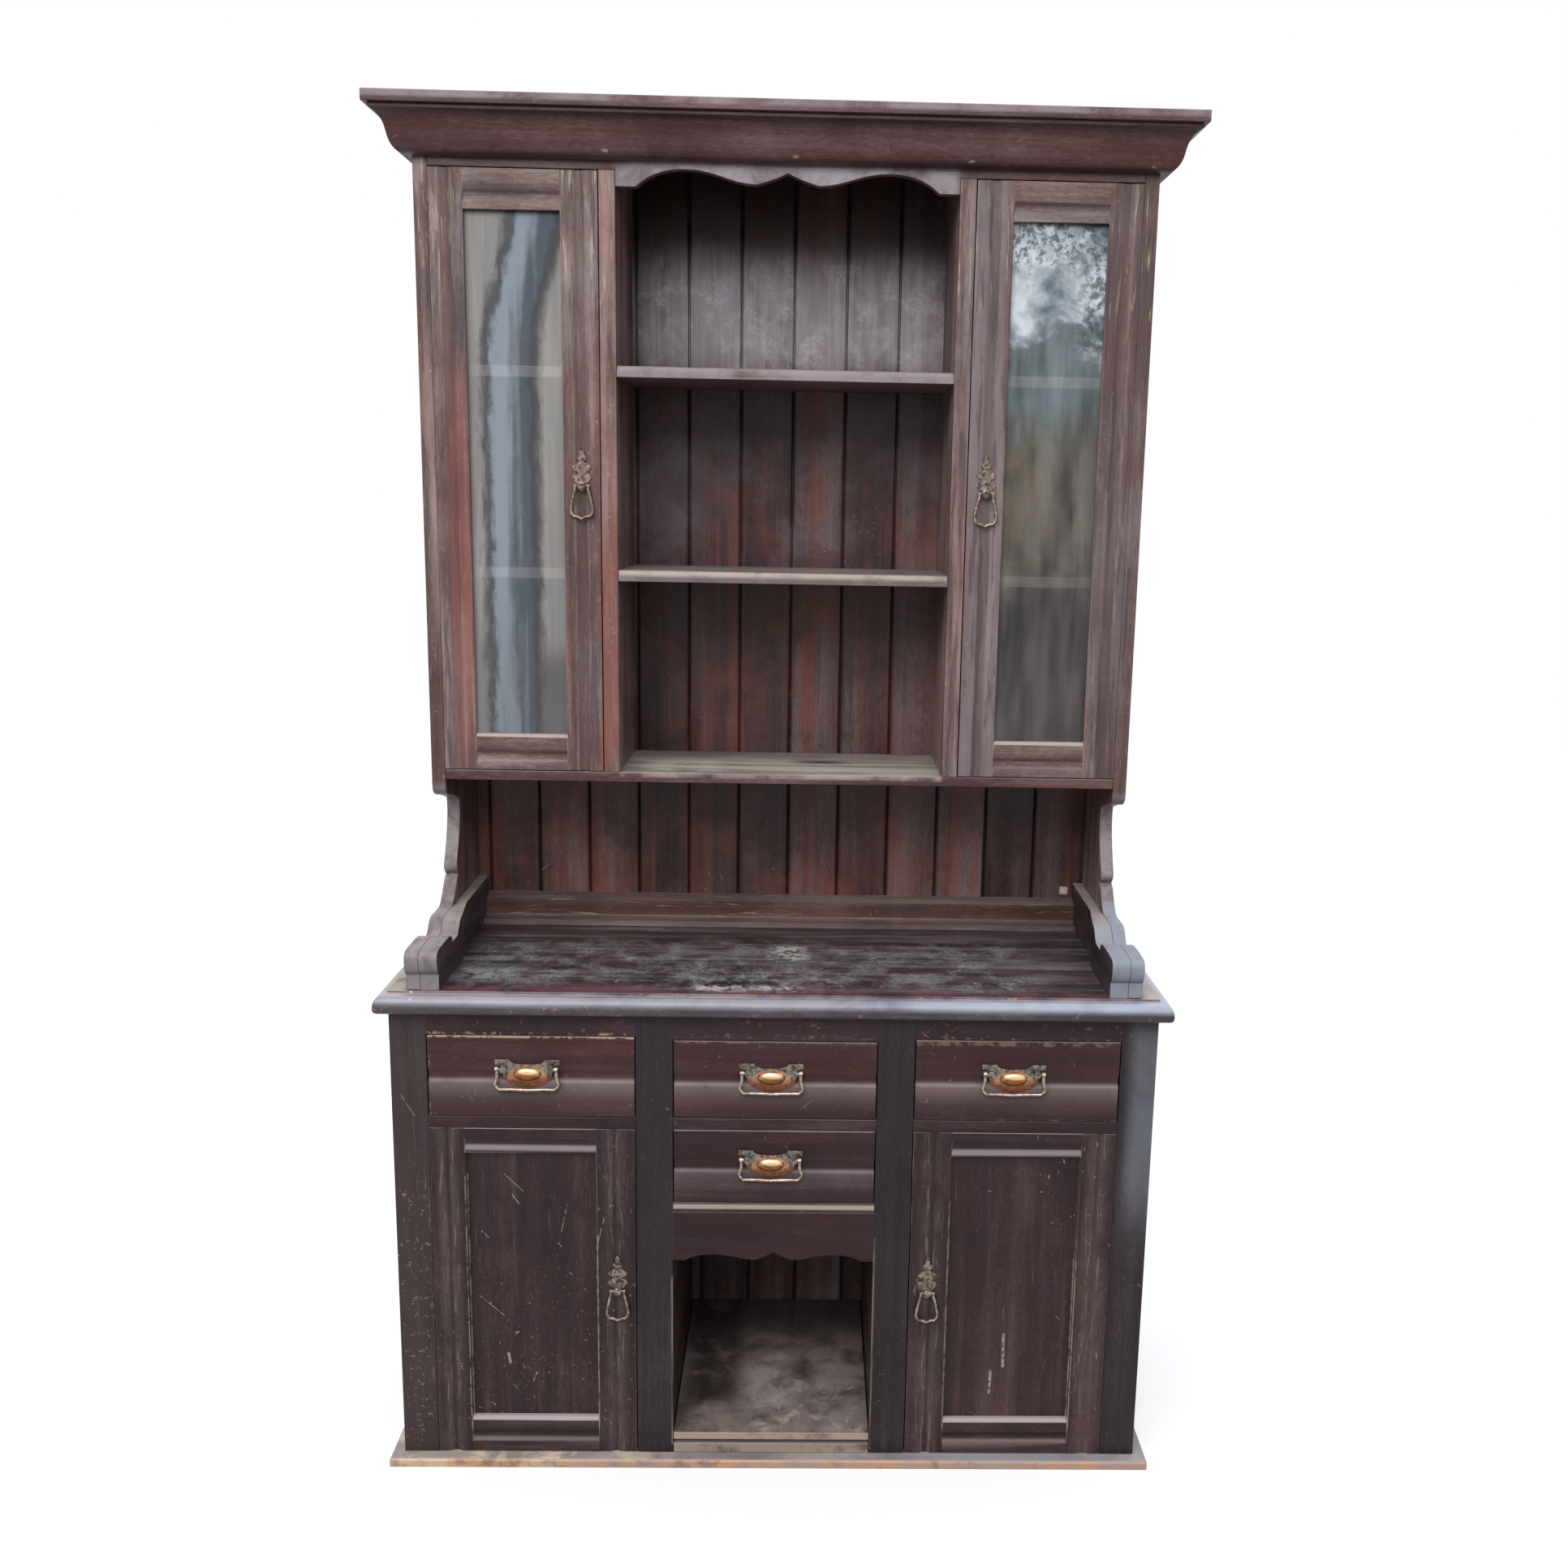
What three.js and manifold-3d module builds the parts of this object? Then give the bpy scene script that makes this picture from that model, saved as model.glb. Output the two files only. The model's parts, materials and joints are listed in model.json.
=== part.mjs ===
// A dresser with a hutch, in millimetres.
// +X is the right-hand end, +Y the back and +Z up, and the front faces -Y.
// The origin is the middle of the footprint, on the floor.
import * as THREE from "three";
import { mergeVertices } from "three/addons/utils/BufferGeometryUtils.js";
import Module from "manifold-3d";

const wasm = await Module();
wasm.setup();

// Clearances
const fitGap = 0.3; // between glued or nailed pieces
const doorGap = 1.5; // around doors and drawer fronts, but not on the edge that a door hangs from
const runGap = 3; // beside and above a drawer box
const cutMargin = 20; // how far a cutter passes the wood

// Overall
const baseWidth = 1200;
const totalDepth = 455;
const plinthThickness = 15;
const plinthProjection = 20;
const plinthRing = 60;
const plinthEase = 3;
const baseHeight = 773.5; // floor to the underside of the top
const topThickness = 33.5;
const topEndOverhang = 18;
const topFrontOverhang = 25;
const noseDepth = 20;
const noseStep = 4;
const noseLedge = 4;
const noseSplay = 1; // how far the step leans out
const noseUndercut = 9;
const noseTipShare = 0.36; // height of the foremost line, as a share of the nose's height
const noseRoundShare = 0.45;
const backThickness = 13;

const yBack = totalDepth / 2;
const yFace = -totalDepth / 2 + topFrontOverhang;
const yBoards = yBack - backThickness;
const zTop = baseHeight + topThickness;

// Base carcass
const sideThickness = 20;
const frameThickness = 22;
const outerStile = 56.5;
const nicheWidth = 321.5;
const middleStile = 58;
const topRail = 38.5;
const centreTopRail = 43.5;
const drawerOpening = 135;
const lowerDrawerOpening = 124;
const bearerThickness = 18;
const lowerBearerThickness = 16;
const floorThickness = 17.5;
const nicheFloorThickness = 19;
const nicheFloorRebate = 6;
const nicheFloorSetback = 8;
const dividerThickness = 18;
const dividerSetback = 1.2; // behind the edge of the niche's stile
const guideHeight = 20;

const xSide = baseWidth / 2;
const xOuterStile = xSide - outerStile;
const xNiche = nicheWidth / 2;
const xMiddleStile = xNiche + middleStile;
const xSideInner = xSide - sideThickness;
const xDivider = xNiche + dividerSetback;
const xDividerOuter = xDivider + dividerThickness;
const zDrawerTop = baseHeight - topRail;
const zCentreDrawerTop = baseHeight - centreTopRail;
const zBearer = zDrawerTop - drawerOpening;
const zLowerDrawerTop = zBearer - bearerThickness;
const zLowerBearer = zLowerDrawerTop - lowerDrawerOpening;
const zApron = zLowerBearer - lowerBearerThickness;
const zFloor = plinthThickness + floorThickness;

// Apron and valance, as shares of half the opening's width
const scallopCornerShare = 0.88;
const scallopLobeShare = 0.59;
const scallopDipShare = 0.18;
const scallopShoulderShare = 0.8;
const scallopRiseShare = 0.75;
const scallopLobeEaseShare = 0.7;
const scallopFallShare = 0.42;
const scallopSwellShare = 0.33;
const scallopCuspShare = 0.05;
const scallopCuspRiseShare = 0.55;
const apronDrops = { end: 84.5, lobe: 74, dip: 83, cusp: 69 }; // under the lower bearer
const valanceDrops = { end: 100, lobe: 73, dip: 93, cusp: 75 }; // under the cornice board
const curvePoints = 7;

// Drawers
const frontThickness = 20;
const boxHeight = 108;
const lowerBoxHeight = 98;
const boxStop = 21; // behind a closed drawer
const boxWall = 10;
const boxBottom = 6;
const drawerFluteWidth = 24;
const drawerFluteDepth = 4;

// Doors
const doorThickness = 20;
const doorFluteWidth = 20;
const doorFluteDepth = 3;
const fluteFromOpening = 28;
const ledgeBevel = 5;
const rebateWidth = 8;
const panelSetback = 10;
const panelThickness = 7.5;
const paneSetback = 9;
const paneThickness = 3;
const baseDoor = {
  hangingStile: 55,
  latchStile: 61.5,
  topRail: 41,
  bottomRail: 61,
  topFlute: 15,
  bottomFlute: 33,
};
const hutchDoor = {
  hangingStile: 52,
  latchStile: 57.5,
  topRail: 59.5,
  bottomRail: 59.5,
  topFlute: 20,
  bottomFlute: 37,
};

// Hutch
const hutchInset = 30; // at each end of the base
const hutchSetback = 192; // behind the face of the base
const hutchSide = 22;
const hutchOpening = 528;
const hutchDivider = 25;
const servingHeight = 295; // between the base's top and the hutch's floor
const hutchFloorThickness = 16;
const friezeHeight = 76;
const friezeThickness = 18;
const hutchRise = 1318; // the top of the base to the underside of the cornice board
const shelfShares = { lower: 0.3257, upper: 0.6395 }; // of the height over the hutch's floor
const shelfThickness = 18;
const shelfNose = 7;
const shelfBand = 2;
const shelfBandShare = 0.45;

const yHutch = yFace + hutchSetback;
const xHutch = xSide - hutchInset;
const xHutchInner = xHutch - hutchSide;
const xOpening = hutchOpening / 2;
const xHutchDivider = xOpening + hutchDivider;
const zHutchFloorBottom = zTop + servingHeight;
const zHutchFloor = zHutchFloorBottom + hutchFloorThickness;
const zHead = zTop + hutchRise;
const zDoorHead = zHead - friezeHeight;
const yFrieze = yHutch + friezeThickness;

// Cornice
const corniceBoardThickness = 17;
const corniceProjection = 58.5;
const corniceDrop = 63;
const corniceFoot = 6;
const corniceCap = 51;
const corniceCapDrop = 6;
const corniceWaist = { out: 30, down: 37 };
const bellyControls = { out: 20, sideOut: 27, sideDown: 53 };
const coveControls = { out: 33, down: 21, tipOut: 38, tipDown: 11 };

// Brackets, gallery and upstand: distances behind the base's face and heights over the top
const nib = { drop: 10, out: 22, foot: 46, height: 260, endHeight: 247, reach: 284 };
const neck = { back: 296, waist: 209, belly: 255, bellyHeight: 142 };
const notch = { back: 264, height: 118, front: 250, frontHeight: 111 };
const sweep = { control: 225, controlHeight: 76 };
const hump = { back: 206, front: 158, height: 74, chin: 138, heel: 136, foot: 118, footHeight: 50 };
const quirk = { back: 90, height: 52 };
const nose = { back: 60, top: 65, front: -12, shoulder: 50, chin: 30, neck: -2, neckHeight: 26 };
const galleryHeight = 77; // at the back
const galleryStart = 240; // where the rail begins to thicken
const galleryNoseThickness = 28;
const galleryRailThickness = 17;
const upstandHeight = 49;
const upstandThickness = 25;
const upstandBevel = 8;
const upstandFootReach = 52;
const upstandFootHeight = 8;
const upstandQuirk = 15;

// Back boards
const boardPitch = 89.3;
const grooveWidth = 5;
const grooveDepth = 4;
const hutchBoardOffset = 10;
const baseBoardOffset = 34;

// Drawer pulls, around the middle of the domed oval
const pullRise = 5; // over the middle of the drawer front
const pullShift = -6; // the pulls sit a little left of the middle
const postSpan = 73;
const plateThickness = 1.6;
const plateTop = 23;
const plateEarReach = 13.5; // past the middle of the post
const plateEarOut = postSpan / 2 + plateEarReach;
const plateEarIn = 27;
const plateEarDepth = 8;
const plateDip = 15;
const plateWaist = 40;
const plateHip = 37;
const plateShoulder = -8;
const plateFoot = -22;
const domeHalf = { width: 22.5, height: 12, rise: 7 };
const domePlateau = 0.35;
const postRise = 9.5;
const postRadius = 5.5;
const postLength = 11;
const pinRadius = 1.5;
const pinHoleRadius = 1.8;
const pinHoleDepth = 4;
const pinLength = 3.6;
const bailRadius = 2.7;
const bailClearance = 4;
const bailShoulder = postSpan / 2 + postRadius + bailClearance;
const bailFlare = 4;
const bailSplay = bailShoulder + bailFlare;
const bailSplayDrop = 24;
const bailDrop = 33.5;
const bailCorner = bailShoulder - bailRadius;
const bailSag = 1;

// Drop pulls, around the pivot
const dropShareOnBase = 0.515; // of the door's height
const dropShareOnHutch = 0.493;
const dropFromDoorEdge = 29;
const dropPlateHalf = 15.5;
const dropPlateTop = 58;
const dropFoot = -9;
const bossRadius = 7;
const bossLength = 10;
const bossPinDepth = 3;
const bossPinLength = 2.6;
const loopRadius = 2.3;
const loopClearance = 3;
const loopShoulder = bossRadius + loopClearance;
const loopShoulderDrop = 12;
const loopHalf = 17.5;
const loopHalfDrop = 36;
const loopDrop = 48;
const loopCorner = 13;
const loopSag = 4;
// The half outline of the plate, from its tip down, as shares of its half width and of its height
const dropOutlineShares = [
  [0.1, 1],
  [0.23, 0.91],
  [0.19, 0.845],
  [0.48, 0.775],
  [0.42, 0.69],
  [0.19, 0.64],
  [0.71, 0.57],
  [1, 0.5],
  [0.77, 0.4],
  [0.39, 0.36],
  [0.84, 0.29],
  [1, 0.205],
  [0.71, 0.12],
  [0.52, 0],
  [0.355, -0.105],
];

// Round pieces
const roundSegments = 20;
const domeSegments = 24;
const tubeSegments = 8;
const tubeStepsPerPoint = 2;
const domeRings = 4;
const fluteSegments = 6;

const materials = {
  baseWood: woodMaterial(0x3a2b2c, 0.55),
  hutchWood: woodMaterial(0x4a3636, 0.5),
  topWood: woodMaterial(0x2f2526, 0.45),
  innerWood: woodMaterial(0x5b4a40, 0.8),
  liningWood: woodMaterial(0x9a7b58, 0.8),
  brass: new THREE.MeshStandardMaterial({ color: 0x8a7453, roughness: 0.45, metalness: 0.9 }),
  glass: new THREE.MeshStandardMaterial({
    color: 0xd5dedb,
    roughness: 0.05,
    metalness: 0,
    transparent: true,
    opacity: 0.3,
  }),
};

function woodMaterial(color, roughness) {
  return new THREE.MeshStandardMaterial({ color, roughness, metalness: 0 });
}

// Solids
function solidOf(geometry) {
  const bare = new THREE.BufferGeometry();
  bare.setAttribute("position", geometry.getAttribute("position"));
  if (geometry.index) bare.setIndex(geometry.index);
  const merged = mergeVertices(bare);
  return new wasm.Manifold(
    new wasm.Mesh({
      numProp: 3,
      vertProperties: merged.attributes.position.array,
      triVerts: new Uint32Array(merged.index.array),
    }),
  );
}

function geometryOf(solid) {
  const mesh = solid.getMesh();
  const shared = new THREE.BufferGeometry();
  shared.setAttribute("position", new THREE.BufferAttribute(mesh.vertProperties, mesh.numProp));
  shared.setIndex(new THREE.BufferAttribute(mesh.triVerts, 1));
  const flat = shared.toNonIndexed();
  flat.computeVertexNormals();
  return flat;
}

function cut(geometry, ...cutters) {
  const rest = cutters.reduce((left, cutter) => left.subtract(solidOf(cutter)), solidOf(geometry));
  return geometryOf(rest);
}

function join(...geometries) {
  return geometryOf(geometries.map(solidOf).reduce((sum, next) => sum.add(next)));
}

function common(first, second) {
  return geometryOf(solidOf(first).intersect(solidOf(second)));
}

function box([x0, x1], [y0, y1], [z0, z1]) {
  const geometry = new THREE.BoxGeometry(x1 - x0, y1 - y0, z1 - z0);
  return geometry.translate((x0 + x1) / 2, (y0 + y1) / 2, (z0 + z1) / 2);
}

function shapeOf(points) {
  return new THREE.Shape(points.map(([u, v]) => new THREE.Vector2(u, v)));
}

function extrude(shape, length, curveSegments = curvePoints) {
  return new THREE.ExtrudeGeometry(shape, { depth: length, bevelEnabled: false, curveSegments });
}

// A shape drawn in (y, z), carried along X
function extrudeX(shape, [x0, x1], curveSegments) {
  const turn = new THREE.Matrix4().set(0, 0, 1, 0, 1, 0, 0, 0, 0, 1, 0, 0, 0, 0, 0, 1);
  return extrude(shape, x1 - x0, curveSegments).applyMatrix4(turn).translate(x0, 0, 0);
}

// A shape drawn in (x, z), carried along Y
function extrudeY(shape, [y0, y1], curveSegments) {
  return extrude(shape, y1 - y0, curveSegments)
    .rotateX(Math.PI / 2)
    .translate(0, y1, 0);
}

// A shape drawn in (x, y), carried along Z
function extrudeZ(shape, [z0, z1], curveSegments) {
  return extrude(shape, z1 - z0, curveSegments).translate(0, 0, z0);
}

function mirrorX(geometry) {
  const flipped = geometry.index ? geometry.toNonIndexed() : geometry.clone();
  flipped.scale(-1, 1, 1);
  const position = flipped.getAttribute("position");
  for (let i = 0; i < position.count; i += 3) {
    const [x, y, z] = [position.getX(i), position.getY(i), position.getZ(i)];
    position.setXYZ(i, position.getX(i + 2), position.getY(i + 2), position.getZ(i + 2));
    position.setXYZ(i + 2, x, y, z);
  }
  flipped.computeVertexNormals();
  return flipped;
}

// The cross-section of a shallow hollow: a circle that cuts a face at v = 0 over the given width
function fluteShape(width, depth, along, across) {
  const radius = (width * width) / 4 / (2 * depth) + depth / 2;
  const half = Math.asin(width / 2 / radius);
  const points = [];
  for (let i = 0; i <= fluteSegments; i += 1) {
    const angle = -half + (2 * half * i) / fluteSegments;
    points.push([Math.sin(angle) * radius, Math.cos(angle) * radius - (radius - depth)]);
  }
  points.push([width / 2, -depth], [-width / 2, -depth]);
  return shapeOf(points.map(([u, v]) => [along + u, across + v]));
}

// A hollow along X in a face that looks along -Y
function fluteAlongX([x0, x1], y, z, width, depth) {
  const upright = fluteShape(width, depth, z, y);
  const turned = upright.getPoints().map((p) => [p.y, p.x]);
  return extrudeX(shapeOf(turned), [x0, x1]);
}

function fluteAlongZ(x, y, [z0, z1], width, depth) {
  return extrudeZ(fluteShape(width, depth, x, y), [z0, z1]);
}

const group = new THREE.Group();

function place(name, geometry, material) {
  const mesh = new THREE.Mesh(geometry, material);
  mesh.name = name;
  group.add(mesh);
}

function placePair(name, leftGeometry, material) {
  place(name + "_left", leftGeometry, material);
  place(name + "_right", mirrorX(leftGeometry), material);
}

// Scalloped lower edge of the apron and of the valance, from the left end to the right
function addScallop(path, halfWidth, top, drops) {
  const heights = Object.entries(drops).map(([name, drop]) => [name, top - drop]);
  const profile = Object.fromEntries(heights);
  const rise = profile.lobe - profile.end;
  const at = (side, share) => side * share * halfWidth;
  path.lineTo(-halfWidth, profile.end);
  path.lineTo(at(-1, scallopCornerShare), profile.end);
  path.bezierCurveTo(
    at(-1, scallopShoulderShare),
    profile.end + rise * scallopRiseShare,
    at(-1, scallopLobeEaseShare),
    profile.lobe,
    at(-1, scallopLobeShare),
    profile.lobe,
  );
  path.bezierCurveTo(
    at(-1, scallopFallShare),
    profile.lobe,
    at(-1, scallopSwellShare),
    profile.dip,
    at(-1, scallopDipShare),
    profile.dip,
  );
  const cuspSide = profile.dip + (profile.cusp - profile.dip) * scallopCuspRiseShare;
  path.quadraticCurveTo(at(-1, scallopCuspShare), cuspSide, 0, profile.cusp);
  path.quadraticCurveTo(at(1, scallopCuspShare), cuspSide, at(1, scallopDipShare), profile.dip);
  path.bezierCurveTo(
    at(1, scallopSwellShare),
    profile.dip,
    at(1, scallopFallShare),
    profile.lobe,
    at(1, scallopLobeShare),
    profile.lobe,
  );
  path.bezierCurveTo(
    at(1, scallopLobeEaseShare),
    profile.lobe,
    at(1, scallopShoulderShare),
    profile.end + rise * scallopRiseShare,
    at(1, scallopCornerShare),
    profile.end,
  );
  path.lineTo(halfWidth, profile.end);
}

// Base
function plinth() {
  const outer = xSide + plinthProjection;
  const front = yFace - plinthProjection;
  const eased = (reach, z) => [
    [-reach, 0],
    [reach, 0],
    [reach, z - plinthEase],
    [reach - plinthEase, z],
    [-reach + plinthEase, z],
    [-reach, z - plinthEase],
  ];
  const acrossX = extrudeY(shapeOf(eased(outer, plinthThickness)), [front, yBack]);
  const sideView = shapeOf([
    [yBack, 0],
    [yBack, plinthThickness],
    [front + plinthEase, plinthThickness],
    [front, plinthThickness - plinthEase],
    [front, 0],
  ]);
  const alongX = extrudeX(sideView, [-outer, outer]);
  const inner = xSide - plinthRing;
  const well = box(
    [-inner, inner],
    [yFace + plinthRing, yBack - plinthRing],
    [-cutMargin, plinthThickness + cutMargin],
  );
  return cut(common(acrossX, alongX), well);
}

function baseSide() {
  return box(
    [-xSide, -xSideInner],
    [yFace + frameThickness + fitGap, yBack],
    [plinthThickness + fitGap, baseHeight - fitGap],
  );
}

function baseFloor() {
  const rear = yFace + frameThickness + fitGap;
  const reach = xSideInner - fitGap;
  const tongue = xNiche - fitGap;
  const plan = shapeOf([
    [-reach, rear],
    [-tongue, rear],
    [-tongue, yFace],
    [tongue, yFace],
    [tongue, rear],
    [reach, rear],
    [reach, yBoards - fitGap],
    [-reach, yBoards - fitGap],
  ]);
  return extrudeZ(plan, [plinthThickness + fitGap, zFloor]);
}

function baseDivider() {
  return box(
    [-xDividerOuter, -xDivider],
    [yFace + frameThickness + fitGap, yBoards - fitGap],
    [zFloor + fitGap, baseHeight - fitGap],
  );
}

function baseFaceFrame() {
  const foot = plinthThickness + fitGap;
  const head = baseHeight - fitGap;
  const outline = new THREE.Shape();
  outline.moveTo(-xSide, foot);
  outline.lineTo(-xOuterStile, foot);
  outline.lineTo(-xOuterStile, zDrawerTop);
  outline.lineTo(-xMiddleStile, zDrawerTop);
  outline.lineTo(-xMiddleStile, foot);
  outline.lineTo(-xNiche, foot);
  addScallop(outline, xNiche, zApron, apronDrops);
  outline.lineTo(xNiche, foot);
  outline.lineTo(xMiddleStile, foot);
  outline.lineTo(xMiddleStile, zDrawerTop);
  outline.lineTo(xOuterStile, zDrawerTop);
  outline.lineTo(xOuterStile, foot);
  outline.lineTo(xSide, foot);
  outline.lineTo(xSide, head);
  outline.lineTo(-xSide, head);
  const drawerHole = shapeOf([
    [-xNiche, zApron],
    [xNiche, zApron],
    [xNiche, zCentreDrawerTop],
    [-xNiche, zCentreDrawerTop],
  ]);
  outline.holes.push(drawerHole);
  return extrudeY(outline, [yFace, yFace + frameThickness]);
}

// A bearer carries a drawer, and its front edge is the rail under it
function sideBearer() {
  const rear = yFace + frameThickness + fitGap;
  const left = -xSideInner + fitGap;
  const right = -xDividerOuter - fitGap;
  const plan = shapeOf([
    [left, rear],
    [-xOuterStile + fitGap, rear],
    [-xOuterStile + fitGap, yFace],
    [-xMiddleStile - fitGap, yFace],
    [-xMiddleStile - fitGap, rear],
    [right, rear],
    [right, yBoards - fitGap],
    [left, yBoards - fitGap],
  ]);
  const board = extrudeZ(plan, [zBearer - bearerThickness, zBearer]);
  const depth = [rear, yBoards - fitGap];
  const height = [zBearer - bearerThickness, zBearer + guideHeight];
  const outerGuide = box([left, -xOuterStile], depth, height);
  const innerGuide = box([-xMiddleStile, right], depth, height);
  return join(board, outerGuide, innerGuide);
}

function centreBearer(top, thickness) {
  const rear = yFace + frameThickness + fitGap;
  const reach = xDivider - fitGap;
  const tongue = xNiche - fitGap;
  const plan = shapeOf([
    [-reach, rear],
    [-tongue, rear],
    [-tongue, yFace],
    [tongue, yFace],
    [tongue, rear],
    [reach, rear],
    [reach, yBoards - fitGap],
    [-reach, yBoards - fitGap],
  ]);
  return extrudeZ(plan, [top - thickness + fitGap, top]);
}

function nicheFloor() {
  const foot = zFloor + fitGap;
  const top = foot + nicheFloorThickness;
  const side = shapeOf([
    [yBoards - fitGap, foot],
    [yBoards - fitGap, top],
    [yFace, top],
    [yFace, foot + nicheFloorRebate],
    [yFace + nicheFloorSetback, foot + nicheFloorRebate],
    [yFace + nicheFloorSetback, foot],
  ]);
  const reach = xNiche - fitGap;
  return extrudeX(side, [-reach, reach]);
}

// Tongue-and-groove boards, glued up, with a V at each joint on the front
function backBoards(reach, offset, [z0, z1]) {
  const points = [
    [reach, yBack],
    [-reach, yBack],
    [-reach, yBoards],
  ];
  const first = Math.ceil((-reach - offset + grooveWidth) / boardPitch);
  for (let i = first; offset + i * boardPitch < reach - grooveWidth; i += 1) {
    const x = offset + i * boardPitch;
    points.push([x - grooveWidth / 2, yBoards], [x, yBoards + grooveDepth], [x + grooveWidth / 2, yBoards]);
  }
  points.push([reach, yBoards]);
  return extrudeZ(shapeOf(points.reverse()), [z0, z1]);
}

// The rounded edge of the top: half of it is drawn, then mirrored where both ends show
function nosePath(path, edge, towards) {
  const inner = edge - towards * noseDepth;
  const ledge = zTop - noseStep;
  const tip = baseHeight + (ledge - baseHeight) * noseTipShare;
  const shoulder = tip + (ledge - tip) * noseRoundShare;
  path.lineTo(inner, zTop);
  path.lineTo(inner + towards * noseSplay, ledge);
  path.lineTo(inner + towards * noseLedge, ledge);
  path.bezierCurveTo(edge - towards * noseLedge, ledge, edge, shoulder, edge, tip);
  path.quadraticCurveTo(edge, baseHeight, edge - towards * noseUndercut, baseHeight);
}

function dresserTop() {
  const reach = xSide + topEndOverhang;
  const sideView = new THREE.Shape();
  sideView.moveTo(yBack, baseHeight);
  sideView.lineTo(yBack, zTop);
  nosePath(sideView, -totalDepth / 2, -1);
  const frontView = new THREE.Shape();
  frontView.moveTo(-reach + noseUndercut, baseHeight);
  frontView.lineTo(reach - noseUndercut, baseHeight);
  const rightEdge = new THREE.Shape();
  rightEdge.moveTo(0, zTop);
  nosePath(rightEdge, reach, 1);
  const points = rightEdge.getPoints(curvePoints);
  const right = points.slice(1).reverse();
  const left = points.slice(1).map((p) => new THREE.Vector2(-p.x, p.y));
  const outline = new THREE.Shape([...right, ...left]);
  return common(
    extrudeX(sideView, [-reach, reach]),
    extrudeY(outline, [-totalDepth / 2 - cutMargin, yBack]),
  );
}

// Drawers
function drawerFront([x0, x1], [z0, z1]) {
  const wide = [x0 + doorGap, x1 - doorGap];
  const tall = [z0 + doorGap, z1 - doorGap];
  const board = box(wide, [yFace, yFace + frontThickness], tall);
  const flute = fluteAlongX(
    [wide[0] - cutMargin, wide[1] + cutMargin],
    yFace,
    (z0 + z1) / 2,
    drawerFluteWidth,
    drawerFluteDepth,
  );
  return cut(board, flute);
}

function drawerBox([x0, x1], z0, height) {
  const front = yFace + frontThickness + fitGap;
  const wide = [x0 + runGap, x1 - runGap];
  const foot = z0 + fitGap;
  const rear = yBoards - boxStop;
  const outside = box(wide, [front, rear], [foot, foot + height]);
  const inside = box(
    [wide[0] + boxWall, wide[1] - boxWall],
    [front + boxWall, rear - boxWall],
    [foot + boxBottom, foot + height + cutMargin],
  );
  return cut(outside, inside);
}

// Doors: a grooved frame whose opening is rebated at the back for a panel or a pane
function doorFrame([x0, x1], [z0, z1], face, size, rebateStart) {
  const hole = doorOpening([x0, x1], [z0, z1], size);
  const frame = cut(
    box([x0, x1], [face, face + doorThickness], [z0, z1]),
    box(hole.x, [face - cutMargin, face + doorThickness + cutMargin], hole.z),
    box(
      [hole.x[0] - rebateWidth, hole.x[1] + rebateWidth],
      [face + rebateStart, face + doorThickness + cutMargin],
      [hole.z[0] - rebateWidth, hole.z[1] + rebateWidth],
    ),
  );
  const upright = [z0 - cutMargin, z1 + cutMargin];
  const flutes = [hole.x[0] - fluteFromOpening, hole.x[1] + fluteFromOpening].map((x) =>
    fluteAlongZ(x, face, upright, doorFluteWidth, doorFluteDepth),
  );
  const railFlutes = [hole.z[1] + size.topFlute, hole.z[0] - size.bottomFlute].map((z) =>
    fluteAlongX(hole.x, face, z, doorFluteWidth, doorFluteDepth),
  );
  const bevel = extrudeX(
    shapeOf([
      [face, hole.z[0] - ledgeBevel],
      [face + ledgeBevel, hole.z[0]],
      [face, hole.z[0]],
    ]),
    hole.x,
  );
  return cut(frame, ...flutes, ...railFlutes, bevel);
}

function doorOpening([x0, x1], [z0, z1], size) {
  return {
    x: [x0 + size.hangingStile, x1 - size.latchStile],
    z: [z0 + size.bottomRail, z1 - size.topRail],
  };
}

// A panel or a pane, held this far inside the frame's edge all round
function doorFilling(opening, [y0, y1], reach) {
  return box(
    [opening.x[0] - reach, opening.x[1] + reach],
    [y0, y1],
    [opening.z[0] - reach, opening.z[1] + reach],
  );
}

// Hutch
// The scrolled front that a bracket and a gallery rail share: a hump, then the nose at the front
function bracketScroll(path) {
  const at = (behind, over) => [yFace + behind, zTop + over];
  path.lineTo(...at(hump.front, hump.height));
  path.bezierCurveTo(
    ...at(hump.chin, hump.height),
    ...at(hump.heel, hump.footHeight),
    ...at(hump.foot, hump.footHeight),
  );
  path.lineTo(...at(quirk.back, hump.footHeight));
  path.lineTo(...at(quirk.back, quirk.height));
  path.quadraticCurveTo(...at(quirk.back, nose.top), ...at(nose.back, nose.top));
  path.bezierCurveTo(
    ...at(nose.front / 2, nose.top),
    ...at(nose.front, nose.top),
    ...at(nose.front, nose.shoulder),
  );
  path.quadraticCurveTo(...at(nose.front, nose.chin), ...at(nose.neck, nose.neckHeight));
  path.lineTo(...at(nose.neck, fitGap));
}

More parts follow.
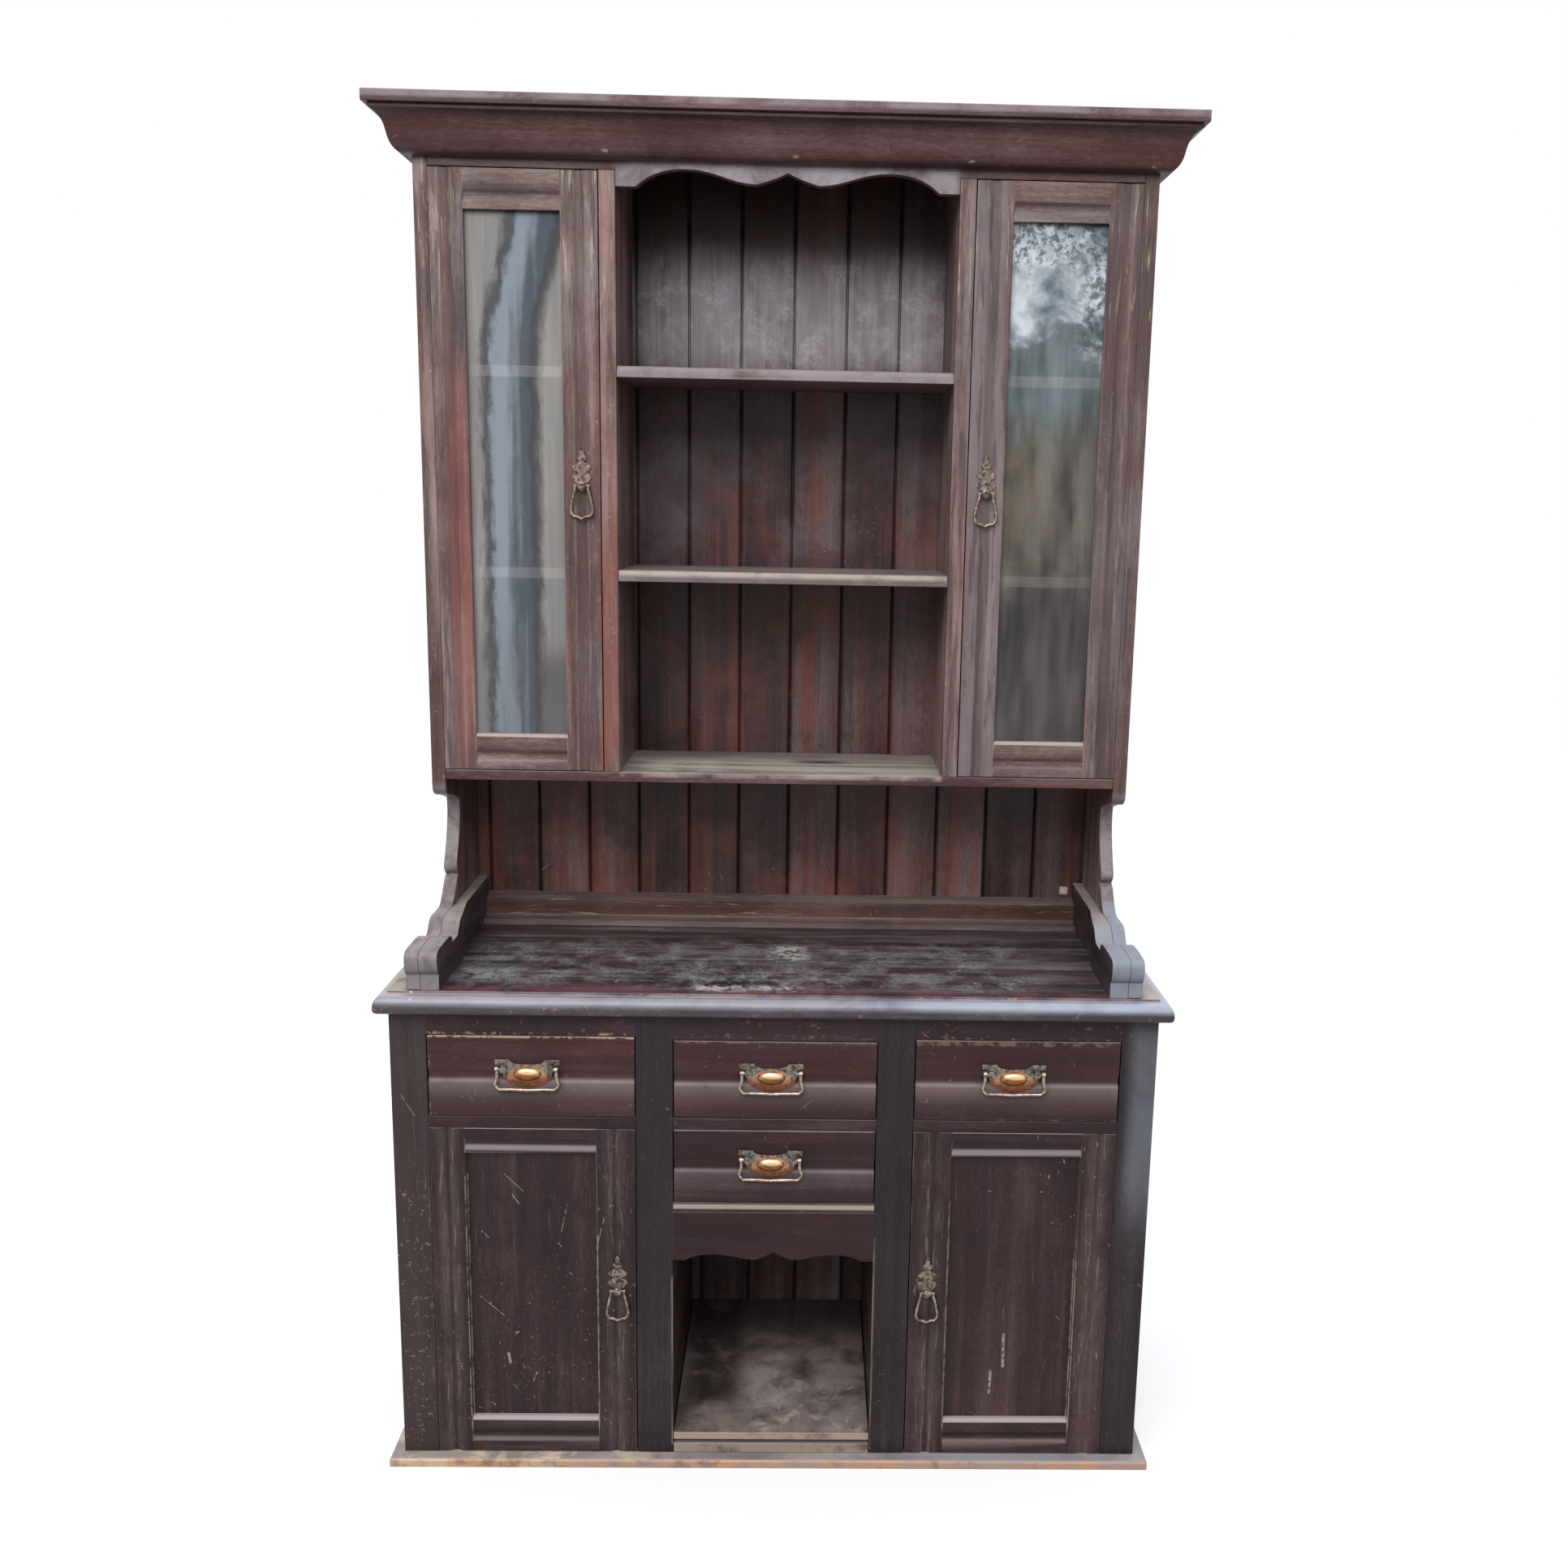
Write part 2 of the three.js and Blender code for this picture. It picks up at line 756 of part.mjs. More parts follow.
function hutchSidePanel() {
  const at = (behind, over) => [yFace + behind, zTop + over];
  const outline = new THREE.Shape();
  outline.moveTo(yBack, zTop + fitGap);
  outline.lineTo(yBack, zHead - fitGap);
  outline.lineTo(yHutch, zHead - fitGap);
  outline.lineTo(yHutch, zHutchFloorBottom - nib.drop);
  outline.quadraticCurveTo(
    yHutch,
    zTop + nib.height + nib.drop,
    yHutch + nib.out,
    zTop + nib.height + nib.drop / 2,
  );
  outline.lineTo(yHutch + nib.foot, zTop + nib.height);
  outline.lineTo(...at(nib.reach, nib.endHeight));
  outline.quadraticCurveTo(...at(neck.back, neck.waist), ...at(neck.belly, neck.bellyHeight));
  outline.quadraticCurveTo(
    ...at(neck.belly - nib.drop, (neck.bellyHeight + notch.height) / 2),
    ...at(notch.back, notch.height),
  );
  outline.lineTo(...at(notch.front, notch.frontHeight));
  outline.quadraticCurveTo(
    ...at(sweep.control, sweep.controlHeight),
    ...at(hump.back, hump.height),
  );
  bracketScroll(outline);
  return extrudeX(outline, [-xHutch, -xHutchInner]);
}

function galleryRail() {
  const back = yBoards - fitGap;
  const outline = new THREE.Shape();
  outline.moveTo(back, zTop + fitGap);
  outline.lineTo(back, zTop + galleryHeight);
  outline.lineTo(yFace + hump.back, zTop + hump.height);
  bracketScroll(outline);
  const outer = -xHutchInner + fitGap;
  const block = extrudeX(outline, [outer, outer + galleryNoseThickness]);
  const thin = outer + galleryRailThickness;
  const thick = outer + galleryNoseThickness;
  const relief = shapeOf([
    [thin, yFace + galleryStart],
    [thick, yFace + hump.front],
    [thick + cutMargin, yFace + hump.front],
    [thick + cutMargin, yBack],
    [thin, yBack],
  ]);
  return cut(block, extrudeZ(relief, [zTop - cutMargin, zTop + galleryHeight + cutMargin]));
}

function upstand() {
  const back = yBoards - fitGap;
  const front = back - upstandThickness;
  const foot = zTop + fitGap;
  const top = zTop + upstandHeight;
  const outline = new THREE.Shape();
  outline.moveTo(back, foot);
  outline.lineTo(back, top);
  outline.lineTo(front, top - upstandBevel);
  outline.lineTo(front, zTop + upstandQuirk);
  outline.quadraticCurveTo(
    front,
    zTop + upstandFootHeight,
    back - upstandFootReach + upstandFootHeight,
    zTop + upstandFootHeight,
  );
  outline.lineTo(back - upstandFootReach, foot);
  const reach = xHutchInner - galleryRailThickness / 2;
  return extrudeX(outline, [-reach, reach]);
}

// The upstand and the two rails are glued up as one piece
function gallery() {
  const rail = galleryRail();
  return join(rail, upstand(), mirrorX(rail));
}

function hutchDividerBoard() {
  const foot = zHutchFloor + fitGap;
  const outline = shapeOf([
    [yBoards - fitGap, foot],
    [yBoards - fitGap, zHead - fitGap],
    [yFrieze + fitGap, zHead - fitGap],
    [yFrieze + fitGap, zDoorHead - fitGap],
    [yHutch, zDoorHead - fitGap],
    [yHutch, foot],
  ]);
  return extrudeX(outline, [-xHutchDivider, -xOpening]);
}

function hutchFloor() {
  const reach = xHutchInner - fitGap;
  return box([-reach, reach], [yHutch, yBoards - fitGap], [zHutchFloorBottom, zHutchFloor]);
}

function frieze() {
  const reach = xHutchInner - fitGap;
  const inner = xOpening - fitGap;
  const outline = new THREE.Shape();
  outline.moveTo(-reach, zHead - fitGap);
  outline.lineTo(-reach, zDoorHead);
  outline.lineTo(-inner, zDoorHead);
  addScallop(outline, inner, zHead, valanceDrops);
  outline.lineTo(inner, zDoorHead);
  outline.lineTo(reach, zDoorHead);
  outline.lineTo(reach, zHead - fitGap);
  return extrudeY(outline, [yHutch, yFrieze]);
}

// A shelf whose front edge is rounded over a flat band
function shelf([x0, x1], top) {
  const front = yHutch + shelfBand;
  const bottom = top - shelfThickness;
  const band = bottom + shelfThickness * shelfBandShare;
  const outline = new THREE.Shape();
  outline.moveTo(yBoards - fitGap, bottom);
  outline.lineTo(yBoards - fitGap, top);
  outline.lineTo(front + shelfNose, top);
  outline.quadraticCurveTo(front, top, front, band);
  outline.lineTo(yHutch, band);
  outline.lineTo(yHutch, bottom);
  return extrudeX(outline, [x0 + fitGap, x1 - fitGap]);
}

// Cabinet shelves stand behind the doors
function cabinetShelf(top) {
  return box(
    [-xHutchInner + fitGap, -xHutchDivider - fitGap],
    [yHutch + doorThickness + cutMargin, yBoards - fitGap],
    [top - shelfThickness, top],
  );
}

function corniceProfile(path, edge, towards) {
  const at = (out, down) => [edge + towards * out, zHead - down];
  path.lineTo(...at(corniceCap, fitGap));
  path.lineTo(...at(corniceCap, corniceCapDrop));
  path.bezierCurveTo(
    ...at(coveControls.tipOut, coveControls.tipDown),
    ...at(coveControls.out, coveControls.down),
    ...at(corniceWaist.out, corniceWaist.down),
  );
  path.bezierCurveTo(
    ...at(bellyControls.sideOut, bellyControls.sideDown),
    ...at(bellyControls.out, corniceDrop),
    ...at(corniceFoot, corniceDrop),
  );
}

function corniceMoulding() {
  const sideView = new THREE.Shape();
  sideView.moveTo(yBack, zHead - corniceDrop);
  sideView.lineTo(yBack, zHead - fitGap);
  corniceProfile(sideView, yHutch, -1);
  const right = new THREE.Shape();
  right.moveTo(0, zHead - fitGap);
  corniceProfile(right, xHutch, 1);
  const points = right.getPoints(curvePoints).slice(1);
  const left = points.map((p) => new THREE.Vector2(-p.x, p.y));
  const frontView = new THREE.Shape([...points.reverse(), ...left]);
  const reach = xHutch + corniceCap;
  const block = common(
    extrudeX(sideView, [-reach, reach]),
    extrudeY(frontView, [yHutch - corniceCap - cutMargin, yBack]),
  );
  const body = box(
    [-xHutch - fitGap, xHutch + fitGap],
    [yHutch - fitGap, yBack + cutMargin],
    [zHead - corniceDrop - cutMargin, zHead + cutMargin],
  );
  return cut(block, body);
}

function corniceBoard() {
  const reach = xHutch + corniceProjection;
  return box(
    [-reach, reach],
    [yHutch - corniceProjection, yBack],
    [zHead, zHead + corniceBoardThickness],
  );
}

// Pulls
function tube(points, radius) {
  const path = new THREE.CatmullRomCurve3(points, false, "catmullrom", 0);
  const ring = new THREE.Shape().absarc(0, 0, radius, 0, 2 * Math.PI);
  return new THREE.ExtrudeGeometry(ring, {
    steps: points.length * tubeStepsPerPoint,
    curveSegments: tubeSegments / 2,
    bevelEnabled: false,
    extrudePath: path,
  });
}

function cylinderAlongY(x, [y0, y1], z, radius) {
  const geometry = new THREE.CylinderGeometry(radius, radius, y1 - y0, roundSegments);
  return geometry.translate(x, (y0 + y1) / 2, z);
}

function cylinderAlongX([x0, x1], y, z, radius) {
  const geometry = new THREE.CylinderGeometry(radius, radius, x1 - x0, tubeSegments * 2);
  return geometry.rotateZ(Math.PI / 2).translate((x0 + x1) / 2, y, z);
}

// A flat-bottomed dome, turned to look along -Y and stretched into an oval
function dome(x, y, z, halfWidth, halfHeight, rise) {
  const profile = [new THREE.Vector2(0, 0), new THREE.Vector2(1, 0)];
  for (let i = 1; i < domeRings; i += 1) {
    const angle = (i / domeRings) * (Math.PI / 2);
    profile.push(new THREE.Vector2(Math.cos(angle) * (1 - domePlateau) + domePlateau, Math.sin(angle)));
  }
  profile.push(new THREE.Vector2(domePlateau, 1), new THREE.Vector2(0, 1));
  const geometry = new THREE.LatheGeometry(profile, domeSegments);
  return geometry.rotateX(Math.PI).scale(halfWidth, rise, halfHeight).translate(x, y, z);
}

function pullPlate(x, z) {
  const rear = yFace - fitGap;
  const front = rear - plateThickness;
  const outline = new THREE.Shape();
  outline.moveTo(x, z + plateDip);
  outline.quadraticCurveTo(x + plateEarIn, z + plateDip, x + plateEarIn, z + plateTop);
  outline.lineTo(x + plateEarOut, z + plateTop);
  outline.lineTo(x + plateEarOut, z + plateTop - plateEarDepth);
  outline.quadraticCurveTo(x + plateWaist, z + plateDip, x + plateWaist, z + plateDip / 2);
  outline.lineTo(x + plateHip, z + plateShoulder);
  outline.quadraticCurveTo(x + domeHalf.width, z + plateFoot, x, z + plateFoot);
  outline.quadraticCurveTo(x - domeHalf.width, z + plateFoot, x - plateHip, z + plateShoulder);
  outline.lineTo(x - plateWaist, z + plateDip / 2);
  outline.quadraticCurveTo(x - plateWaist, z + plateDip, x - plateEarOut, z + plateTop - plateEarDepth);
  outline.lineTo(x - plateEarOut, z + plateTop);
  outline.lineTo(x - plateEarIn, z + plateTop);
  outline.quadraticCurveTo(x - plateEarIn, z + plateDip, x, z + plateDip);
  const plate = extrudeY(outline, [front, rear]);
  const oval = dome(x, rear, z, domeHalf.width, domeHalf.height, domeHalf.rise + plateThickness);
  const pivot = z + postRise;
  const postEnd = rear - postLength;
  const posts = [-1, 1].map((side) =>
    cylinderAlongY(x + (side * postSpan) / 2, [postEnd, rear], pivot, postRadius),
  );
  const holes = [-1, 1].map((side) => {
    const outer = x + side * (postSpan / 2 + postRadius);
    const ends = [outer - side * pinHoleDepth, outer + side * cutMargin];
    return cylinderAlongX(ends.sort((a, b) => a - b), pivotY(), pivot, pinHoleRadius);
  });
  return cut(join(plate, oval, ...posts), ...holes);
}

function pivotY() {
  return yFace - fitGap - postLength / 2 - plateThickness;
}

function pullBail(x, z) {
  const y = pivotY();
  const pivot = z + postRise;
  const shoulder = pivot - bailRadius;
  const inner = postSpan / 2 + postRadius - pinLength;
  const half = [
    [bailShoulder, shoulder + bailRadius],
    [bailShoulder, shoulder - bailSplayDrop / 2],
    [bailSplay, pivot - bailSplayDrop],
    [bailSplay - bailRadius / 2, pivot - bailDrop + bailRadius * 2],
    [bailCorner, pivot - bailDrop],
    [bailCorner / 2, pivot - bailDrop],
  ];
  const left = half.map(([u, v]) => new THREE.Vector3(x - u, y, v));
  const middle = new THREE.Vector3(x, y, pivot - bailDrop - bailSag);
  const right = half.map(([u, v]) => new THREE.Vector3(x + u, y, v)).reverse();
  const bow = tube([...left, middle, ...right], bailRadius);
  const pins = [-1, 1].map((side) => {
    const ends = [x + side * inner, x + side * (bailShoulder + bailRadius)];
    return cylinderAlongX(ends.sort((a, b) => a - b), y, pivot, pinRadius);
  });
  const knuckles = [-1, 1].map((side) => {
    const ends = [x + side * (bailShoulder - bailRadius), x + side * (bailShoulder + bailRadius)];
    return cylinderAlongX(ends.sort((a, b) => a - b), y, pivot, bailRadius + pinRadius);
  });
  return join(bow, ...pins, ...knuckles);
}

function dropPlate(x, z, face) {
  const rear = face - fitGap;
  const front = rear - plateThickness;
  const half = dropOutlineShares.map(([u, v]) => [u * dropPlateHalf, z + v * dropPlateTop]);
  const right = half.map(([u, v]) => [x + u, v]);
  const left = half.map(([u, v]) => [x - u, v]).reverse();
  const tip = [[x, z + dropPlateTop + plateThickness]];
  const foot = [[x, z + dropFoot]];
  const outline = shapeOf([...tip, ...right, ...foot, ...left].reverse());
  const plate = extrudeY(outline, [front, rear]);
  const boss = cylinderAlongY(x, [rear - bossLength, rear], z, bossRadius);
  const cap = dome(x, rear - bossLength, z, bossRadius, bossRadius, plateThickness);
  const holes = [-1, 1].map((side) => {
    const ends = [x + side * (bossRadius - bossPinDepth), x + side * (bossRadius + cutMargin)];
    return cylinderAlongX(ends.sort((a, b) => a - b), dropPivotY(face), z, pinHoleRadius);
  });
  return cut(join(plate, boss, cap), ...holes);
}

function dropPivotY(face) {
  return face - fitGap - bossLength / 2 - plateThickness / 2;
}

function dropLoop(x, z, face) {
  const y = dropPivotY(face);
  const half = [
    [loopShoulder, 0],
    [loopShoulder, -loopShoulderDrop / 2],
    [loopShoulder + loopRadius, -loopShoulderDrop],
    [loopHalf, -loopHalfDrop],
    [loopHalf - loopRadius / 2, -loopDrop + loopRadius * 2],
    [loopCorner, -loopDrop],
    [loopCorner / 2, -loopDrop],
  ];
  const left = half.map(([u, v]) => new THREE.Vector3(x - u, y, z + v));
  const middle = new THREE.Vector3(x, y, z - loopDrop - loopSag);
  const right = half.map(([u, v]) => new THREE.Vector3(x + u, y, z + v)).reverse();
  const ring = tube([...left, middle, ...right], loopRadius);
  const pins = [-1, 1].map((side) => {
    const ends = [x + side * (bossRadius - bossPinLength), x + side * (loopShoulder + loopRadius)];
    return cylinderAlongX(ends.sort((a, b) => a - b), y, z, pinRadius);
  });
  return join(ring, ...pins);
}

// Assembly
function assembleBase() {
  place("plinth", plinth(), materials.baseWood);
  placePair("base_side", baseSide(), materials.baseWood);
  place("base_floor", baseFloor(), materials.innerWood);
  placePair("base_divider", baseDivider(), materials.innerWood);
  place("base_face_frame", baseFaceFrame(), materials.baseWood);
  placePair("drawer_bearer", sideBearer(), materials.baseWood);
  place("drawer_bearer_centre_upper", centreBearer(zBearer, bearerThickness), materials.baseWood);
  place(
    "drawer_bearer_centre_lower",
    centreBearer(zLowerBearer, lowerBearerThickness),
    materials.baseWood,
  );
  place("niche_floor", nicheFloor(), materials.innerWood);
  const reach = xSideInner - fitGap;
  const tall = [plinthThickness + fitGap, baseHeight - fitGap];
  place("base_back_boards", backBoards(reach, baseBoardOffset, tall), materials.innerWood);
  place("dresser_top", dresserTop(), materials.topWood);
}

function assembleDrawers() {
  const side = [-xOuterStile, -xMiddleStile];
  const centre = [-xNiche, xNiche];
  const upper = [zBearer, zDrawerTop];
  const places = [
    ["left", side, upper, boxHeight],
    ["right", side.map((x) => -x).reverse(), upper, boxHeight],
    ["centre_upper", centre, [zBearer, zCentreDrawerTop], boxHeight],
    ["centre_lower", centre, [zLowerBearer, zLowerDrawerTop], lowerBoxHeight],
  ];
  for (const [name, wide, tall, height] of places) {
    const pullX = (wide[0] + wide[1]) / 2 + pullShift;
    const pullZ = (tall[0] + tall[1]) / 2 + pullRise;
    place("drawer_front_" + name, drawerFront(wide, tall), materials.baseWood);
    place("drawer_box_" + name, drawerBox(wide, tall[0], height), materials.liningWood);
    place("drawer_pull_plate_" + name, pullPlate(pullX, pullZ), materials.brass);
    place("drawer_pull_bail_" + name, pullBail(pullX, pullZ), materials.brass);
  }
}

function placeDropPulls(prefix, doorEdge, [z0, z1], share, face) {
  const x = doorEdge - dropFromDoorEdge;
  const z = z0 + (z1 - z0) * share;
  placePair(prefix + "_door_drop_plate", dropPlate(x, z, face), materials.brass);
  placePair(prefix + "_door_drop_loop", dropLoop(x, z, face), materials.brass);
}

// The panel of a base door is glued into its frame, so the door is one piece
function assembleBaseDoors() {
  const wide = [-xOuterStile + fitGap, -xMiddleStile - doorGap];
  const tall = [plinthThickness + doorGap, zLowerDrawerTop - doorGap];
  const rear = yFace + panelSetback + panelThickness;
  const panel = doorFilling(
    doorOpening(wide, tall, baseDoor),
    [yFace + panelSetback, rear],
    rebateWidth,
  );
  const frame = doorFrame(wide, tall, yFace, baseDoor, panelSetback);
  placePair("base_door", join(frame, panel), materials.baseWood);
  placeDropPulls("base", wide[1], tall, dropShareOnBase, yFace);
}

function assembleGlazedDoors() {
  const wide = [-xHutchInner + fitGap, -xHutchDivider - doorGap];
  const tall = [zHutchFloor + doorGap, zDoorHead - doorGap];
  const front = yHutch + paneSetback + fitGap;
  const pane = doorFilling(
    doorOpening(wide, tall, hutchDoor),
    [front, front + paneThickness],
    rebateWidth - fitGap,
  );
  placePair("hutch_door_frame", doorFrame(wide, tall, yHutch, hutchDoor, paneSetback), materials.hutchWood);
  placePair("hutch_door_pane", pane, materials.glass);
  placeDropPulls("hutch", wide[1], tall, dropShareOnHutch, yHutch);
}

function assembleHutch() {
  place("gallery", gallery(), materials.topWood);
  placePair("hutch_side", hutchSidePanel(), materials.hutchWood);
  placePair("hutch_divider", hutchDividerBoard(), materials.hutchWood);
  place("hutch_floor", hutchFloor(), materials.hutchWood);
  place("frieze", frieze(), materials.hutchWood);
  place("cornice_moulding", corniceMoulding(), materials.hutchWood);
  place("cornice_board", corniceBoard(), materials.hutchWood);
  const tall = [zTop + fitGap, zHead - fitGap];
  const reach = xHutchInner - fitGap;
  place("hutch_back_boards", backBoards(reach, hutchBoardOffset, tall), materials.hutchWood);
  for (const [level, share] of Object.entries(shelfShares)) {
    const top = zHutchFloor + (zHead - zHutchFloor) * share;
    place("centre_shelf_" + level, shelf([-xOpening, xOpening], top), materials.hutchWood);
    placePair("cabinet_shelf_" + level, cabinetShelf(top), materials.hutchWood);
  }
}

assembleBase();
assembleDrawers();
assembleBaseDoors();
assembleGlazedDoors();
assembleHutch();

export default group;
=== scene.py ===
"""Looks of the dresser with a hutch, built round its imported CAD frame."""

import json
import math

import bmesh
import bpy
from mathutils import Matrix, Vector

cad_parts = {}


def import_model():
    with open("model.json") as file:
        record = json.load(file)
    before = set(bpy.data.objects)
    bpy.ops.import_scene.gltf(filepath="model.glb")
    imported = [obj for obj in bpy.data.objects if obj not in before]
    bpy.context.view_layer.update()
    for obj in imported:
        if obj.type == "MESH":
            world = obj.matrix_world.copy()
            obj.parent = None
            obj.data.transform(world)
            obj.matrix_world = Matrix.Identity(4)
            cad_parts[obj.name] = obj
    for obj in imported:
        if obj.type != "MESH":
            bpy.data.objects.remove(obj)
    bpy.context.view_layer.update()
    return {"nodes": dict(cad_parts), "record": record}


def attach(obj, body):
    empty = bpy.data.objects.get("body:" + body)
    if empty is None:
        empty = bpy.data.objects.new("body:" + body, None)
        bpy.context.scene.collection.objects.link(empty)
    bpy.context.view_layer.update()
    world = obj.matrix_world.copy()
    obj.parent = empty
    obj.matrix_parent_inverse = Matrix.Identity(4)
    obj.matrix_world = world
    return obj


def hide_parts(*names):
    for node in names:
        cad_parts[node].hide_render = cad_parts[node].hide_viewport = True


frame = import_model()
NODES = frame["nodes"]

X, Y, Z = 0, 1, 2
BODY_OF = {}
for body, names in frame["record"]["behaviour"]["bodies"].items():
    for name in names:
        BODY_OF[name] = body


# Colours and shader helpers


def tone(red, green, blue):
    """An 8-bit screen colour as linear light."""
    light = []
    for value in (red, green, blue):
        value /= 255
        light.append(value / 12.92 if value <= 0.04045 else ((value + 0.055) / 1.055) ** 2.4)
    return (*light, 1.0)


class Net:
    """The node tree of a material or a world, with short calls for the nodes that are used here."""

    def __init__(self, name, world=False):
        self.owner = (bpy.data.worlds if world else bpy.data.materials).new(name)
        self.owner.use_nodes = True
        self.tree = self.owner.node_tree
        self.tree.nodes.clear()
        self.out = self.node("ShaderNodeOutputWorld" if world else "ShaderNodeOutputMaterial")

    def put(self, socket, value):
        if isinstance(value, bpy.types.NodeSocket):
            self.tree.links.new(value, socket)
        elif value is not None:
            socket.default_value = value

    def node(self, kind, **settings):
        made = self.tree.nodes.new(kind)
        for key, value in settings.items():
            setattr(made, key, value)
        return made

    def filled(self, kind, *values, **settings):
        """The output of a node of this kind, with its first sockets set."""
        made = self.node(kind, **settings)
        for socket, value in zip(made.inputs, values):
            self.put(socket, value)
        return made.outputs[0]

    def finish(self, shader):
        self.tree.links.new(shader, self.out.inputs[0])

    def math(self, operation, a, b=None, c=None, clamp=False):
        return self.filled("ShaderNodeMath", a, b, c, operation=operation, use_clamp=clamp)

    def times(self, *values):
        product = values[0]
        for value in values[1:]:
            product = self.math("MULTIPLY", product, value)
        return product

    def vector(self, operation, a, b=None, scale=None):
        made = self.node("ShaderNodeVectorMath", operation=operation)
        self.put(made.inputs[0], a)
        if b is not None:
            self.put(made.inputs[1], b)
        if scale is not None:
            self.put(made.inputs["Scale"], scale)
        return made.outputs["Value" if operation in ("DOT_PRODUCT", "LENGTH") else "Vector"]

    def relative(self, value, start, unit):
        """How far a value lies from a start, in units of a size."""
        return self.math("DIVIDE", self.math("SUBTRACT", value, start), unit)

    def split(self, vector):
        made = self.node("ShaderNodeSeparateXYZ")
        self.put(made.inputs[0], vector)
        return made.outputs

    def noise(self, vector, scale, detail=4.0, rough=0.55, distortion=0.0, seed=0.0):
        moved = self.vector("ADD", vector, (seed * 3.1, seed * 7.7, seed * 5.3)) if seed else vector
        made = self.node("ShaderNodeTexNoise")
        self.put(made.inputs["Vector"], moved)
        self.put(made.inputs["Scale"], scale)
        self.put(made.inputs["Detail"], detail)
        self.put(made.inputs["Roughness"], rough)
        self.put(made.inputs["Distortion"], distortion)
        return made.outputs["Fac"]

    def step(self, value, low, high):
        """0 under low, 1 over high, smooth between."""
        made = self.node("ShaderNodeMapRange", interpolation_type="SMOOTHSTEP")
        self.put(made.inputs["Value"], value)
        self.put(made.inputs["From Min"], low)
        self.put(made.inputs["From Max"], high)
        return made.outputs["Result"]

    def ramp(self, value, stops):
        made = self.node("ShaderNodeValToRGB")
        self.put(made.inputs[0], value)
        ends = made.color_ramp.elements
        while len(ends) < len(stops):
            ends.new(0.5)
        for end, (place, colour) in zip(ends, stops):
            end.position = place
            end.color = colour
        return made.outputs[0]

    def mix(self, share, a, b, blend="MIX"):
        """Two colours mixed; sockets 6, 7 and 2 are those for colours."""
        made = self.node("ShaderNodeMix", data_type="RGBA", blend_type=blend)
        self.put(made.inputs[0], share)
        self.put(made.inputs[6], a)
        self.put(made.inputs[7], b)
        return made.outputs[2]

    def turned(self, vector, angles):
        made = self.node("ShaderNodeVectorRotate", rotation_type="EULER_XYZ")
        self.put(made.inputs["Vector"], vector)
        made.inputs["Rotation"].default_value = angles
        return made.outputs[0]

    def bump(self, height, strength, distance=0.001):
        made = self.node("ShaderNodeBump")
        self.put(made.inputs["Height"], height)
        self.put(made.inputs["Strength"], strength)
        self.put(made.inputs["Distance"], distance)
        return made.outputs[0]

    def surface(self, **sockets):
        shader = self.node("ShaderNodeBsdfPrincipled")
        for key, value in sockets.items():
            self.put(shader.inputs[key.replace("_", " ")], value)
        self.finish(shader.outputs[0])


def stretched(net, vector, axis, share):
    """Coordinates in which a pattern is drawn out along one axis."""
    scale = [1.0, 1.0, 1.0]
    scale[axis] = share
    return net.vector("MULTIPLY", vector, tuple(scale))


def wavy(net, coords, axis):
    """Coordinates that swing a little, so that a pattern drawn out along the axis has no blocks."""
    wave = net.noise(stretched(net, coords, axis, 0.3), 14.0, 2.0, 0.5, seed=19.0)
    swing = net.vector("SCALE", (0.02, 0.02, 0.02), scale=net.math("SUBTRACT", wave, 0.5))
    return net.vector("ADD", coords, swing)


def edge_mask(net, radius):
    """1 on the edges of the solid, 0 away from them."""
    soft = net.filled("ShaderNodeBevel", radius, samples=4)
    flat = net.node("ShaderNodeNewGeometry").outputs["Normal"]
    return net.math("SUBTRACT", 1.0, net.vector("DOT_PRODUCT", soft, flat))


def zone(net, coords, soft=0.01, soft_x=None, **spans):
    """1 inside the given spans of x, y and z, fading out over a soft edge."""
    parts = net.split(coords)
    inside = None
    for key, (low, high) in spans.items():
        value = parts["xyz".index(key)]
        fade = soft_x if key == "x" and soft_x else soft
        rising = net.step(value, low - fade, low + fade)
        falling = net.step(value, high + fade, high - fade)
        between = net.times(rising, falling)
        inside = between if inside is None else net.times(inside, between)
    return inside


def stroke(net, coords, start, end, width):
    """1 on a straight scratch from start to end, both given as (x, z)."""
    flat = net.vector("MULTIPLY", coords, (1.0, 0.0, 1.0))
    begin = Vector((start[0], 0.0, start[1]))
    run = Vector((end[0], 0.0, end[1])) - begin
    offset = net.vector("SUBTRACT", flat, tuple(begin))
    along = net.vector("DOT_PRODUCT", offset, tuple(run / run.length_squared))
    clamped = net.math("MINIMUM", net.math("MAXIMUM", along, 0.0), 1.0)
    nearest = net.vector("SCALE", tuple(run), scale=clamped)
    away = net.vector("LENGTH", net.vector("SUBTRACT", offset, nearest))
    return net.step(away, width, width * 0.4)


def most(net, masks):
    """The largest of several masks."""
    result = masks[0]
    for mask in masks[1:]:
        result = net.math("MAXIMUM", result, mask)
    return result


# How far from an edge the stain and the tarnish are rubbed away
WOOD_EDGE = 0.0022
METAL_EDGE = 0.0012

# How far apart pieces, and boards in a piece, lie in the pattern of the wood
PIECES_APART = (3.7, 5.1, 2.9)
BOARDS_APART = (9.0, 4.0, 6.0)

# What redder and cooler streaks leave of a colour
REDDER = (1.18, 0.7, 0.58, 1.0)
COOLER = (0.74, 0.88, 0.96, 1.0)

